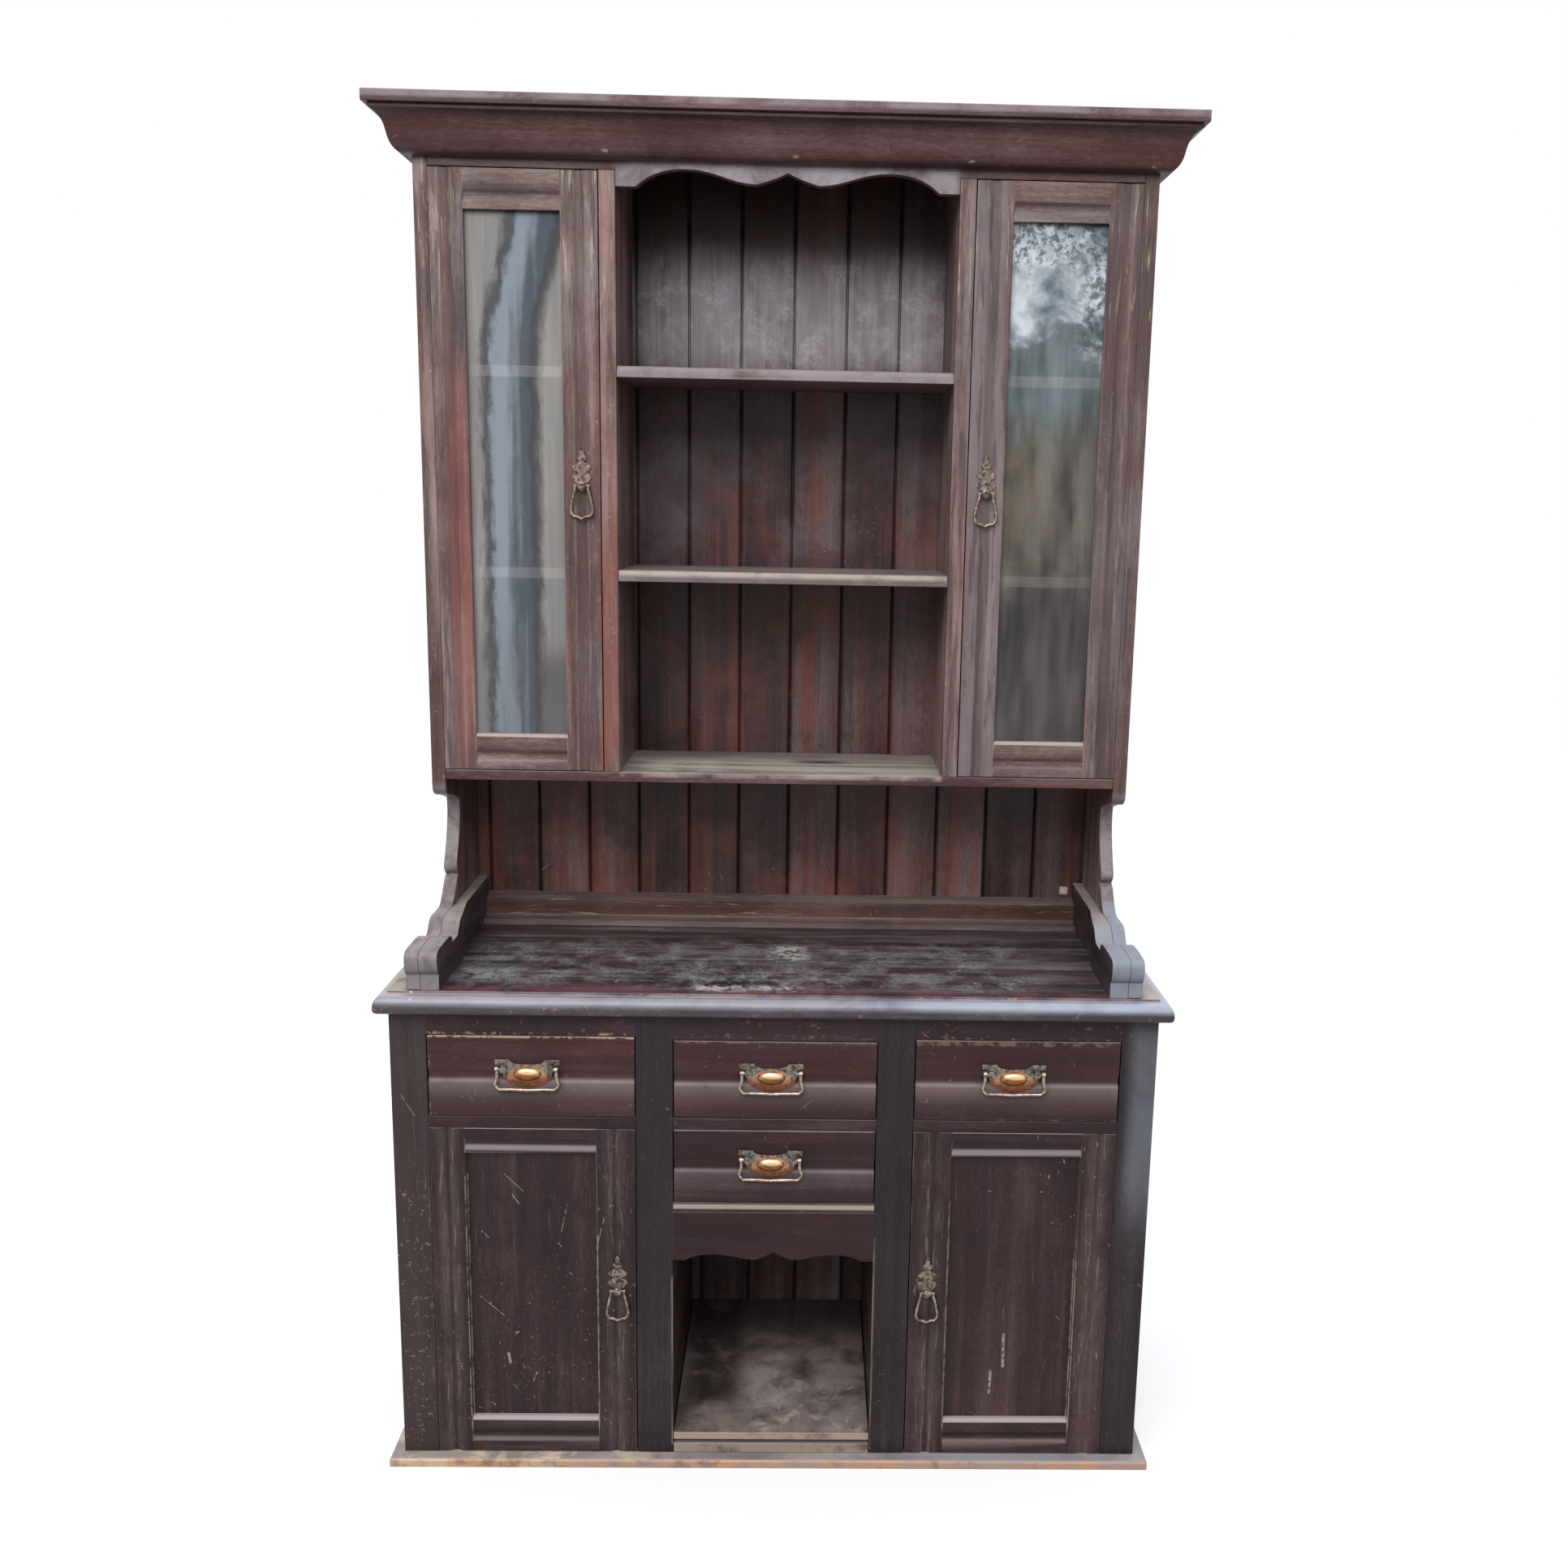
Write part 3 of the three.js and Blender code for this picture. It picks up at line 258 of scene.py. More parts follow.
# Tones of the worn stain, from dark to light
BASE = dict(dark=(21, 12, 14), mid=(48, 31, 33), light=(86, 65, 64))
STILE = dict(dark=(20, 15, 17), mid=(42, 34, 36), light=(76, 66, 68))
HUTCH = dict(dark=(46, 30, 30), mid=(103, 80, 77), light=(158, 141, 138))
CORNICE = dict(dark=(40, 22, 24), mid=(78, 52, 53), light=(122, 98, 98))
INNER = dict(dark=(24, 14, 15), mid=(54, 38, 38), light=(92, 74, 74))
BACK = dict(dark=(37, 25, 25), mid=(78, 57, 57), light=(119, 101, 101))
TOP = dict(dark=(28, 20, 23), mid=(58, 47, 51), light=(102, 91, 95))
UPSTAND = dict(dark=(34, 22, 22), mid=(70, 52, 50), light=(108, 90, 84))
NICHE = dict(dark=(28, 20, 19), mid=(58, 47, 45), light=(98, 87, 82))
# the base's back boards: painted lighter to make up for the shade in the niche
LIGHTENED_FOR_SHADE = dict(dark=(46, 32, 31), mid=(98, 76, 74), light=(146, 126, 124))


def grain(net, place, axis, figure, pore):
    """Drawn-out grain, pores and blotches as one value, then broad and fine grain and blotches alone."""
    drawn = stretched(net, place, axis, 0.06)
    streak = net.noise(stretched(net, place, axis, 0.03), 26.0 * figure, 3.0, 0.6, 0.3, seed=15.0)
    broad = net.noise(drawn, 14.0 * figure, 5.0, 0.6, 0.8)
    fine = net.noise(drawn, 120.0, 3.0, 0.6, seed=1.0)
    pores = net.noise(stretched(net, place, axis, 0.2), 380.0, 2.0, 0.6, seed=17.0)
    blotch = net.noise(place, 4.2, 5.0, 0.62, 0.4, seed=2.0)
    value = net.math("MULTIPLY_ADD", broad, 0.42, net.times(fine, 0.16))
    value = net.math("ADD", value, net.times(blotch, 0.4))
    value = net.math("ADD", value, net.times(streak, 0.34))
    return net.math("MULTIPLY_ADD", pores, pore, value), broad, fine, blotch


def worn_away(net, place, wear, scratch):
    """1 where the stain is gone: on rubbed edges, scratches and chips."""
    worn_at = net.step(net.noise(place, 9.0, 6.0, 0.7, seed=5.0), 0.62 - 0.3 * wear, 0.8 - 0.2 * wear)
    edges = net.step(edge_mask(net, WOOD_EDGE), 0.03, 0.22)
    rubbed = net.math("MULTIPLY", net.times(edges, worn_at), wear, clamp=True)
    marks = []
    for seed, angles in ((6.0, (0.3, 0.2, 0.1)), (8.0, (-0.4, 0.7, 0.2)), (9.0, (0.1, -0.9, -0.3))):
        line = stretched(net, net.turned(place, angles), Z, 0.05)
        marks.append(net.step(net.noise(line, 130.0, 1.0, 0.4, seed=seed), 0.74, 0.8))
    sparse = net.step(net.noise(place, 6.0, 2.0, 0.5, seed=11.0), 0.5, 0.64)
    marked = net.times(most(net, marks), sparse, scratch)
    chips = net.step(net.noise(place, 150.0, 2.0, 0.5, seed=12.0), 0.7, 0.76)
    chips = net.math("MULTIPLY", net.times(chips, sparse), scratch * 1.2, clamp=True)
    return most(net, [rubbed, marked, chips])


def wood(
    name, tones, axis, wear=0.5, wear_colour=(150, 128, 112), scratch=0.4, dust=0.0,
    dust_colour=(138, 128, 124), rough=0.42, gloss=0.22, pore=0.24, redness=0.25, coolness=0.25,
    boards=None, figure=1.0, sheen_and_dust=0.5, sheen_and_dust_colour=(132, 124, 126), marks=(),
):
    """Old stained softwood: drawn-out grain, blotches, rubbed edges, scratches, and on what faces up dust
    with a painted sheen.
    """
    net = Net(name)
    coords = net.node("ShaderNodeTexCoord").outputs["Object"]
    luck = net.node("ShaderNodeObjectInfo").outputs["Random"]
    place = net.vector("ADD", coords, net.vector("SCALE", PIECES_APART, scale=luck))
    tone_shift = net.times(net.math("SUBTRACT", luck, 0.5), 0.08)
    if boards:
        pitch, offset = boards
        counted = net.relative(net.split(coords)[X], offset, pitch)
        index = net.math("FLOOR", counted)
        luck = net.filled("ShaderNodeTexWhiteNoise", None, index, noise_dimensions="1D")
        place = net.vector("ADD", place, net.vector("SCALE", BOARDS_APART, scale=luck))
        shift = net.times(net.math("SUBTRACT", luck, 0.5), 0.2)
        tone_shift = net.math("ADD", tone_shift, shift)
    pattern, broad, fine, blotch = grain(net, place, axis, figure, pore)
    colour = net.ramp(
        net.math("ADD", net.math("ADD", pattern, tone_shift), -0.16 - pore / 2),
        [(0.3, tone(*tones["dark"])), (0.5, tone(*tones["mid"])), (0.72, tone(*tones["light"]))],
    )
    # redder and cooler streaks, dark joints between boards, and on what faces up a painted sheen of sky
    # light, mixed with dust
    hue = net.noise(stretched(net, place, axis, 0.05), 24.0 * figure, 4.0, 0.6, 0.4, seed=4.0)
    warm = net.times(net.step(hue, 0.5, 0.64), redness)
    cool = net.times(net.step(hue, 0.5, 0.36), coolness)
    colour = net.mix(warm, colour, REDDER, "MULTIPLY")
    colour = net.mix(cool, colour, COOLER, "MULTIPLY")
    if boards:
        part_way = net.math("FRACT", counted)
        from_joint = net.math("MINIMUM", part_way, net.math("SUBTRACT", 1.0, part_way))
        joint = net.step(from_joint, 0.09, 0.015)
        colour = net.mix(net.times(joint, 0.8), colour, tone(*tones["dark"]))
    facing = net.split(net.node("ShaderNodeNewGeometry").outputs["Normal"])
    # painted sheen: faces that look up are lighter, as sky light falls on them, with some dust
    raised = net.step(facing[Z], 0.1, 0.6)
    sheen_and_dust_share = net.times(raised, net.math("MULTIPLY_ADD", net.step(blotch, 0.35, 0.6), 0.4, 0.6))
    colour = net.mix(net.times(sheen_and_dust_share, sheen_and_dust), colour, tone(*sheen_and_dust_colour))
    bare = worn_away(net, place, wear, scratch)
    colour = net.mix(bare, colour, tone(*wear_colour))
    roughness = net.math("MULTIPLY_ADD", net.noise(place, 11.0, 4.0, 0.6, seed=14.0), 0.3, rough - 0.12)
    roughness = net.math("ADD", roughness, net.times(bare, 0.3))
    if dust:
        patch = net.step(net.noise(place, 5.0, 6.0, 0.66, 0.5, seed=13.0), 0.3, 0.72)
        grime = net.times(net.step(facing[Z], 0.6, 0.9), net.math("MULTIPLY_ADD", patch, 0.75, 0.25))
        grime = net.times(grime, dust)
        colour = net.mix(grime, colour, tone(*dust_colour))
        roughness = net.math("ADD", roughness, net.times(grime, 0.35), clamp=True)
    for mark in marks:
        colour = mark(net, coords, facing, colour)
    height = net.math("MULTIPLY_ADD", fine, 0.6, net.times(broad, 0.6))
    height = net.math("SUBTRACT", height, net.times(bare, 0.5))
    net.surface(
        Base_Color=colour,
        Roughness=roughness,
        Specular_IOR_Level=gloss,
        Normal=net.bump(height, 0.35, 0.0012),
    )
    return net.owner


# The ways that a face can look: the axis of its normal, and where a mark starts and is whole along it
FACES = {
    "front": (Y, -0.5, -0.8),
    "front_edge": (Y, -0.2, -0.5),
    "up": (Z, 0.8, 0.95),
    "raised": (Z, 0.0, 0.5),
    "lit": (Z, 0.03, 0.26),
    "under": (Z, -0.08, -0.4),
    "flank": (X, 0.05, 0.3),
    "edge": (X, 0.7, 0.4),
}


def looking(net, facing, way):
    """1 on the faces that look the way that is named; along X both directions count."""
    axis, start, whole = FACES[way]
    return net.step(net.math("ABSOLUTE", facing[X]) if axis == X else facing[axis], start, whole)


def tinted(colour, low, high, scale, seed=21.0, amount=1.0, faces="front", along=None, broken=0.0, **spans):
    """A mark: patches of a colour where a noise rises from low to high.

    They lie on the faces that look to the front or the way that is named. Where it is given, they are drawn
    out along an axis, broken up by finer flecks and kept inside spans of x, y and z.
    """

    def paint(net, coords, facing, base):
        pattern = coords if along is None else stretched(net, wavy(net, coords, along), along, 0.05)
        share = net.step(net.noise(pattern, scale, 5.0, 0.65, 0.4, seed=seed), low, high)
        share = net.times(share, amount)
        if broken:
            flecks = net.step(net.noise(pattern, 240.0, 3.0, 0.7, seed=seed + 0.5), 0.36, 0.62)
            share = net.times(share, net.math("MULTIPLY_ADD", flecks, broken, 1.0 - broken))
        if spans:
            share = net.times(share, zone(net, coords, **spans))
        if faces:
            share = net.times(share, looking(net, facing, faces))
        return net.mix(share, base, tone(*colour))

    return paint


def scratched(colour, lines, amount=0.8):
    """A mark: single scratches, each as its two ends and its width."""

    def paint(net, coords, facing, base):
        hits = [stroke(net, coords, start, end, width) for start, end, width in lines]
        whole = net.step(net.noise(coords, 120.0, 3.0, 0.6, seed=18.0), 0.38, 0.56)
        share = net.times(most(net, hits), whole, amount)
        return net.mix(net.times(share, looking(net, facing, "front")), base, tone(*colour))

    return paint


def bare_wood(name, light, dark, axis):
    """Wood with the stain rubbed away."""
    net = Net(name)
    coords = net.node("ShaderNodeTexCoord").outputs["Object"]
    drawn = stretched(net, coords, axis, 0.06)
    value = net.math(
        "MULTIPLY_ADD",
        net.noise(drawn, 60.0, 5.0, 0.65, 0.4),
        0.6,
        net.times(net.noise(coords, 9.0, 4.0, 0.6, seed=3.0), 0.4),
    )
    colour = net.ramp(value, [(0.32, tone(*dark)), (0.52, tone(*light))])
    net.surface(Base_Color=colour, Roughness=0.7, Normal=net.bump(value, 0.3))
    return net.owner


def rubbed_copper(net, coords, tarnish, metal):
    """Copper on the dome and the band under it, with the rings of wear on the dome; its upper part is painted
    lighter than its lower part, and a highlight is painted near its top.
    """
    x, _, z = net.split(coords)
    # from the dome's middle in units of its half sizes, all as shares of the plate's
    across, up = net.relative(x, 0.5, 0.31), net.relative(z, 0.39, 0.39)

    def oval(x_middle, z_middle, x_half, z_half):
        parts = []
        for value, middle, half in ((across, x_middle, x_half), (up, z_middle, z_half)):
            parts.append(net.math("POWER", net.relative(value, middle, half), 2.0))
        return net.math("ADD", *parts)

    band = net.times(net.step(net.math("ABSOLUTE", across), 1.36, 1.2), net.step(up, 0.3, 0.05))
    copper = net.ramp(tarnish, [(0.35, tone(96, 58, 40)), (0.65, tone(142, 90, 58))])
    colour = net.mix(band, metal, copper)
    dome = oval(0.0, 0.0, 1.0, 1.0)
    # rubbed metal, painted lighter on the dome's upper part as light falls there
    worn = net.ramp(tarnish, [(0.35, tone(150, 106, 78)), (0.65, tone(196, 150, 120))])
    colour = net.mix(net.step(dome, 1.1, 0.85), colour, net.mix(net.step(up, -0.5, 0.1), copper, worn))
    golden = net.ramp(tarnish, [(0.35, tone(132, 80, 42)), (0.65, tone(168, 112, 66))])
    colour = net.mix(net.step(oval(0.0, 0.0, 0.58, 0.5), 1.15, 0.8), colour, golden)
    # a painted highlight near the top of the dome
    return net.mix(net.step(oval(0.1, 0.55, 0.62, 0.3), 1.1, 0.3), colour, tone(232, 196, 156))


def old_metal(name, dark, light, rough=0.38, pull=False):
    """Tarnished brass with painted light, brighter where it faces up and darker where it faces down; on a
    drawer pull, rubbed copper in the middle.
    """
    net = Net(name)
    source = net.node("ShaderNodeTexCoord")
    tarnish = net.noise(source.outputs["Object"], 160.0, 4.0, 0.65, 0.3)
    colour = net.ramp(tarnish, [(0.38, tone(*dark)), (0.62, tone(*light))])
    if pull:
        colour = rubbed_copper(net, source.outputs["Generated"], tarnish, colour)
    edges = net.step(edge_mask(net, METAL_EDGE), 0.02, 0.3)
    colour = net.mix(net.times(edges, 0.4), colour, tone(184, 162, 142))
    facing = net.split(net.node("ShaderNodeNewGeometry").outputs["Normal"])
    # painted light and shade: each face lighter or darker by how far it looks up
    painted_shading = net.ramp(
        net.math("MULTIPLY_ADD", facing[Z], 0.5, 0.5),
        [(0.15, (0.3, 0.3, 0.3, 1.0)), (0.5, (0.8, 0.8, 0.8, 1.0)), (0.85, (1.3, 1.3, 1.3, 1.0))],
    )
    net.surface(
        Base_Color=net.mix(1.0, colour, painted_shading, "MULTIPLY"),
        Metallic=0.85,
        Roughness=net.math("MULTIPLY_ADD", tarnish, 0.35, rough - 0.15),
        Normal=net.bump(tarnish, 0.25, 0.0006),
    )
    return net.owner


GLASS = (0.95, 0.955, 0.95, 1.0)
GLASS_INDEX = 1.45  # of refraction
GLASS_ROUGHNESS = 0.05
REFLECTION_GAIN = (1.22, 1.22, 1.22, 1.0)


def old_glass(name, reflected, middle, half_width, depth, amount):
    """An old pane: soft, generic reflections painted on its outer face, over the inside, which shows through.
    """
    net = Net(name)
    coords = net.node("ShaderNodeTexCoord").outputs["Object"]
    x, y, z = net.split(coords)
    across = net.relative(x, middle, half_width)
    picture = reflected(net, coords, across, z)
    outer = net.math("LESS_THAN", y, depth)
    clear = net.filled("ShaderNodeBsdfTransparent", GLASS)
    shine = net.filled("ShaderNodeBsdfGlossy", None, GLASS_ROUGHNESS)
    gleam = net.filled("ShaderNodeFresnel", GLASS_INDEX)
    glass = net.filled("ShaderNodeMixShader", gleam, clear, shine)
    # the painted reflection: a matt picture on the outer face
    painted_reflection = net.filled("ShaderNodeBsdfDiffuse", net.mix(1.0, picture, REFLECTION_GAIN, "MULTIPLY"))
    seen = net.math("SUBTRACT", 1.0, net.node("ShaderNodeLightPath").outputs["Is Shadow Ray"])
    net.finish(net.filled("ShaderNodeMixShader", net.times(seen, outer, amount), glass, painted_reflection))
    return net.owner


def streaked(net, coords, across, z):
    """A painted reflection: a pale blue-grey band with dark ragged borders between pale sides, leaning at the
    top.
    """
    ragged = net.noise(stretched(net, coords, Z, 0.35), 55.0, 5.0, 0.7, 0.4)
    soft = net.noise(stretched(net, coords, Z, 0.05), 60.0, 3.0, 0.5, seed=3.0)
    lean = net.times(net.step(z, 1.76, 2.04), -0.62)
    place = net.math("ADD", net.math("ADD", across, lean), 0.12)
    place = net.math("MULTIPLY_ADD", net.math("SUBTRACT", ragged, 0.5), 0.42, place)
    reach = net.math("ABSOLUTE", place)
    sides = net.ramp(soft, [(0.35, tone(140, 138, 135)), (0.65, tone(166, 163, 159))])
    turn = net.math("MULTIPLY_ADD", net.math("SUBTRACT", soft, 0.5), 1.1, place)
    band = net.mix(net.step(turn, 0.26, -0.22), tone(90, 97, 105), tone(146, 156, 167))
    border = net.times(net.step(reach, 0.3, 0.44), net.step(reach, 0.68, 0.46))
    colour = net.mix(net.step(reach, 0.5, 0.38), sides, band)
    colour = net.mix(net.times(border, 0.8), colour, tone(66, 66, 68))
    corner = net.times(net.step(across, 0.3, 0.5), net.step(z, 1.34, 1.28))
    colour = net.mix(net.times(corner, 0.7), colour, tone(84, 84, 86))
    return net.mix(net.times(net.step(z, 1.5, 1.2), 0.22), colour, tone(92, 86, 82))


def dappled(net, coords, across, z):
    """A painted reflection: a bright sky among dark leaves at the top, dull and dim towards the bottom."""
    leaves = net.noise(coords, 75.0, 6.0, 0.75, 0.1)
    clump = net.noise(coords, 16.0, 3.0, 0.6, 0.2, seed=9.0)
    cloud = net.noise(coords, 13.0, 4.0, 0.6, 0.3, seed=6.0)
    soft = net.noise(stretched(net, coords, Z, 0.16), 34.0, 3.0, 0.5, 0.2, seed=7.0)
    sky = net.ramp(cloud, [(0.4, tone(108, 122, 132)), (0.62, tone(220, 228, 234))])
    haze = net.ramp(soft, [(0.32, tone(92, 102, 104)), (0.68, tone(134, 146, 150))])
    dim = net.ramp(soft, [(0.32, tone(62, 60, 56)), (0.68, tone(126, 120, 112))])
    foot = net.ramp(soft, [(0.32, tone(48, 46, 48)), (0.68, tone(98, 92, 92))])
    height = net.math("MULTIPLY_ADD", net.math("SUBTRACT", cloud, 0.5), 0.3, z)
    olive = net.times(net.step(clump, 0.42, 0.62), net.step(across, 0.4, -0.6))
    dim = net.mix(net.times(olive, 0.4), dim, tone(128, 114, 84))
    colour = net.mix(net.step(height, 1.6, 1.8), dim, haze)
    colour = net.mix(net.step(height, 1.79, 1.86), colour, sky)
    side = net.times(net.step(across, 0.1, 0.75), net.step(z, 1.74, 1.84))
    shade = net.math("MAXIMUM", net.step(height, 1.9, 1.97), side)
    density = net.math("MULTIPLY_ADD", clump, -0.25, net.math("MULTIPLY_ADD", leaves, 1.0, 0.125))
    shade = net.times(shade, net.step(density, 0.42, 0.58))
    colour = net.mix(net.times(shade, 0.8), colour, tone(60, 70, 70))
    return net.mix(net.step(height, 1.5, 1.38), colour, foot)


# Pieces


WELD = 2e-6  # corners closer than this are one
FLAT = 0.5  # degrees, within which faces lie in one plane


def divide(work, cuts):
    """Cut the faces along planes, so that rails and stiles can have grain of their own."""
    for axis, value in cuts:
        point, normal = [0.0, 0.0, 0.0], [0.0, 0.0, 0.0]
        point[axis], normal[axis] = value, 1.0
        geometry = work.verts[:] + work.edges[:] + work.faces[:]
        bmesh.ops.bisect_plane(work, geom=geometry, plane_co=point, plane_no=normal)


def dress(node, material, width=0.0012, angle=32.0, rails=None):
    """The CAD node with softly rounded edges, shown in its place."""
    mesh = NODES[node].data.copy()
    mesh.materials.clear()
    if "custom_normal" in mesh.attributes:
        mesh.attributes.remove(mesh.attributes["custom_normal"])
    work = bmesh.new()
    work.from_mesh(mesh)
    bmesh.ops.remove_doubles(work, verts=work.verts, dist=WELD)
    if rails:
        divide(work, rails["cuts"])
        for face in work.faces:
            face.material_index = int(rails["where"](face.calc_center_median()))
    bmesh.ops.dissolve_limit(
        work,
        angle_limit=math.radians(FLAT),
        verts=work.verts,
        edges=work.edges,
        delimit={"NORMAL", "MATERIAL"},
    )
    for face in work.faces:
        face.smooth = True
    for line in work.edges:
        line.smooth = line.calc_face_angle(math.pi) < math.radians(angle)
    work.to_mesh(mesh)
    work.free()
    made = bpy.data.objects.new(node + "_dressed", mesh)
    bpy.context.scene.collection.objects.link(made)
    mesh.materials.append(material)
    if rails:
        mesh.materials.append(rails["material"])
    if width:
        bevel = made.modifiers.new("worn edges", "BEVEL")
        bevel.width = width
        bevel.segments = 2
        bevel.limit_method = "ANGLE"
        bevel.angle_limit = math.radians(angle)
    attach(made, BODY_OF[node])
    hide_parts(node)


# Places on the object, from the frame's nodes


# Widths of the stiles (hanging, latch) and of the rails (bottom, top) of the doors; rails a little over
BASE_DOOR = ((0.055, 0.0615), (0.0612, 0.0412))
HUTCH_DOOR = ((0.052, 0.0575), (0.0597, 0.0597))
PANE_RAIL = 0.0595  # the bottom rail under a pane
UPSTAND_INSET = 0.03  # from the outer face of a gallery rail


def span(node, axis):
    """The least and the greatest coordinate of a node along an axis."""
    values = [(NODES[node].matrix_world @ Vector(corner))[axis] for corner in NODES[node].bound_box]
    return min(values), max(values)


X_END = span("base_side_right", X)[1]
X_STILE = span("drawer_front_right", X)[1]
X_MIDDLE = span("drawer_front_right", X)[0]
X_NICHE = span("drawer_front_centre_upper", X)[1]
Z_RAIL = span("drawer_front_left", Z)[1]
Z_APRON, Z_BEARER = span("drawer_bearer_centre_lower", Z)
Z_TOP = span("dresser_top", Z)[1]
Y_NOSE = span("dresser_top", Y)[0]
X_BAY = span("centre_shelf_lower", X)[1]
Z_BAY = span("centre_shelf_upper", Z)[1]
Z_LEDGE = span("centre_shelf_lower", Z)[1]
Z_HUTCH = span("hutch_floor", Z)[0]
Z_DOOR = span("base_door_left", Z)[0]
Z_PANE = span("hutch_door_frame_left", Z)[0] + PANE_RAIL
X_RAIL = span("gallery", X)[1]
PANE = {side: span("hutch_door_pane_" + side, X) for side in ("left", "right")}

# Materials of the nodes: each mark is placed as on the object in the photo
# In a row of tinted: its colour, where its noise starts and is whole, its scale, seed and strength

PITCH = 0.0893  # of the back boards
BASE_JOINT = 0.034  # where one of their joints lies
HUTCH_JOINT = 0.01
SKY_SHEEN_GREY = (142, 135, 137)
SCRATCH = (172, 162, 154)
SPECK = (156, 134, 112)
Z_BARE = (Z_APRON + Z_BEARER) / 2

# Spans that several marks share
BRACKET = (Z_TOP - 0.01, Z_HUTCH - 0.012)
NOSE = (Z_TOP - 0.03, Z_TOP - 0.004)
BAY = (-X_BAY, X_BAY)
LEFT_STILE = (-X_END - 0.02, -X_STILE)
RIGHT_DOOR = (0.2, 0.56)
RIGHT_DRAWERS = (-0.165, 0.56)
UPPER_DRAWERS = (0.6, 0.74)
TOP_DEPTH = (-0.19, 0.2)
TOP_MIDDLE = (-0.5, 0.42)
BAY_EDGE = (1.14, 1.75)
BACK_RED = (0.8, 1.7)
BACK_DULL = (0.8, 1.76)
SHEEN = (Z_BAY + 0.02, Z_BAY + 0.19)
Z_SHELF = (Z_LEDGE - 0.02, Z_LEDGE - 0.009)
Z_SHELF_EDGE = (Z_LEDGE - 0.008, Z_LEDGE + 0.001)

door_marks = [
    scratched(
        SCRATCH,
        [
            ((0.378, 0.226), (0.379, 0.168), 0.0032),
            ((0.359, 0.162), (0.358, 0.12), 0.003),
            ((-0.417, 0.464), (-0.404, 0.444), 0.0012),
            ((-0.467, 0.401), (-0.457, 0.39), 0.0013),
            ((-0.429, 0.186), (-0.426, 0.168), 0.003),
            ((-0.384, 0.152), (-0.39, 0.136), 0.0013),
            ((-0.473, 0.288), (-0.434, 0.253), 0.0008),
            ((-0.43, 0.5), (-0.4, 0.47), 0.0008),
            ((-0.27, 0.43), (-0.285, 0.37), 0.0008),
            ((-0.33, 0.45), (-0.34, 0.4), 0.0007),
        ],
        0.75,
    ),
    tinted(SPECK, 0.63, 0.69, 150, 52, 0.85, x=(-0.56, -0.2), z=(0.03, 0.34), soft=0.05),
    tinted(SPECK, 0.69, 0.73, 170, 53, 0.7, x=RIGHT_DOOR, z=(0.04, 0.5)),
    tinted((150, 132, 116), 0.58, 0.66, 240, 54, 0.7, along=Z, x=(0.497, 0.513), z=(0.13, 0.32)),
]
door_flutes = [
    # painted light: the flanks of the flutes lighter; then wear streaks
    tinted((112, 102, 100), 0.3, 0.6, 14, 44, 0.25, "flank"),
    tinted((140, 126, 114), 0.54, 0.66, 260, 55, 0.55, "flank", along=Z),
    tinted((110, 98, 92), 0.6, 0.72, 160, 159, 0.4, along=Z),
]
PANEL_EDGES = ((-0.488, 0.5), (-0.282, 0.4), (0.282, 0.46), (0.488, 0.36))  # x, and up to which z
panel_edges = [
    tinted(
        (158, 142, 126), 0.38, 0.56, 50, 80 + i, 0.85, x=(x - 0.0016, x + 0.0016), z=(0.06, top), soft=0.0012,
    )
    for i, (x, top) in enumerate(PANEL_EDGES)
]
# painted highlight along the ledge under the door's panel
ledge_highlight = tinted(
    (164, 146, 138), 0.24, 0.46, 16, 21, 0.92, "front_edge", z=(Z_DOOR + 0.057, Z_DOOR + 0.0605), soft=0.0015,
)
worn_lines_and_highlight = [
    tinted((84, 48, 48), 0.36, 0.6, 9, 164, 0.28, along=X, z=(0.44, 0.75)),
    # painted highlight on the faces that look up, low on the upper drawers
    tinted((160, 144, 140), 0.15, 0.5, 14, 101, 0.38, "raised", z=(0.6, 0.68)),
    tinted(
        (178, 152, 126), 0.44, 0.53, 60, 22, 0.95,
        x=(-0.545, -0.21), z=(Z_RAIL - 0.003, Z_RAIL + 0.001), soft=0.0015,
    ),
    tinted(
        (128, 104, 96), 0.45, 0.6, 50, 23, 0.7,
        x=RIGHT_DRAWERS, z=(Z_RAIL - 0.008, Z_RAIL + 0.001), soft=0.0015,
    ),
    tinted((128, 108, 96), 0.45, 0.6, 60, 24, 0.7, x=(-0.543, -0.538), z=UPPER_DRAWERS, soft=0.002),
    tinted((150, 124, 104), 0.66, 0.72, 110, 26, 0.55, z=UPPER_DRAWERS),
    tinted((146, 122, 104), 0.5, 0.62, 60, 79, 0.8, x=RIGHT_DOOR, z=(0.6005, 0.603), soft=0.0015),
]
nose_sheen_and_wear = [
    # painted sheen of sky light on the rounded nose, bluer to the right, and a light line on its step; then
    # worn flecks
    tinted((158, 158, 168), 0.2, 0.6, 5, 31, 0.75, "raised", z=NOSE, soft=0.0015),
    tinted((176, 188, 206), 0.2, 0.6, 6, 38, 0.6, "raised", x=(0.3, 0.8), z=NOSE, soft=0.0015, soft_x=0.3),
    tinted((176, 158, 160), 0.3, 0.6, 9, 32, 0.6, "raised", y=(Y_NOSE + 0.0145, Y_NOSE + 0.021), soft=0.003),
    tinted((160, 140, 116), 0.6, 0.7, 60, 39, 0.7),
]
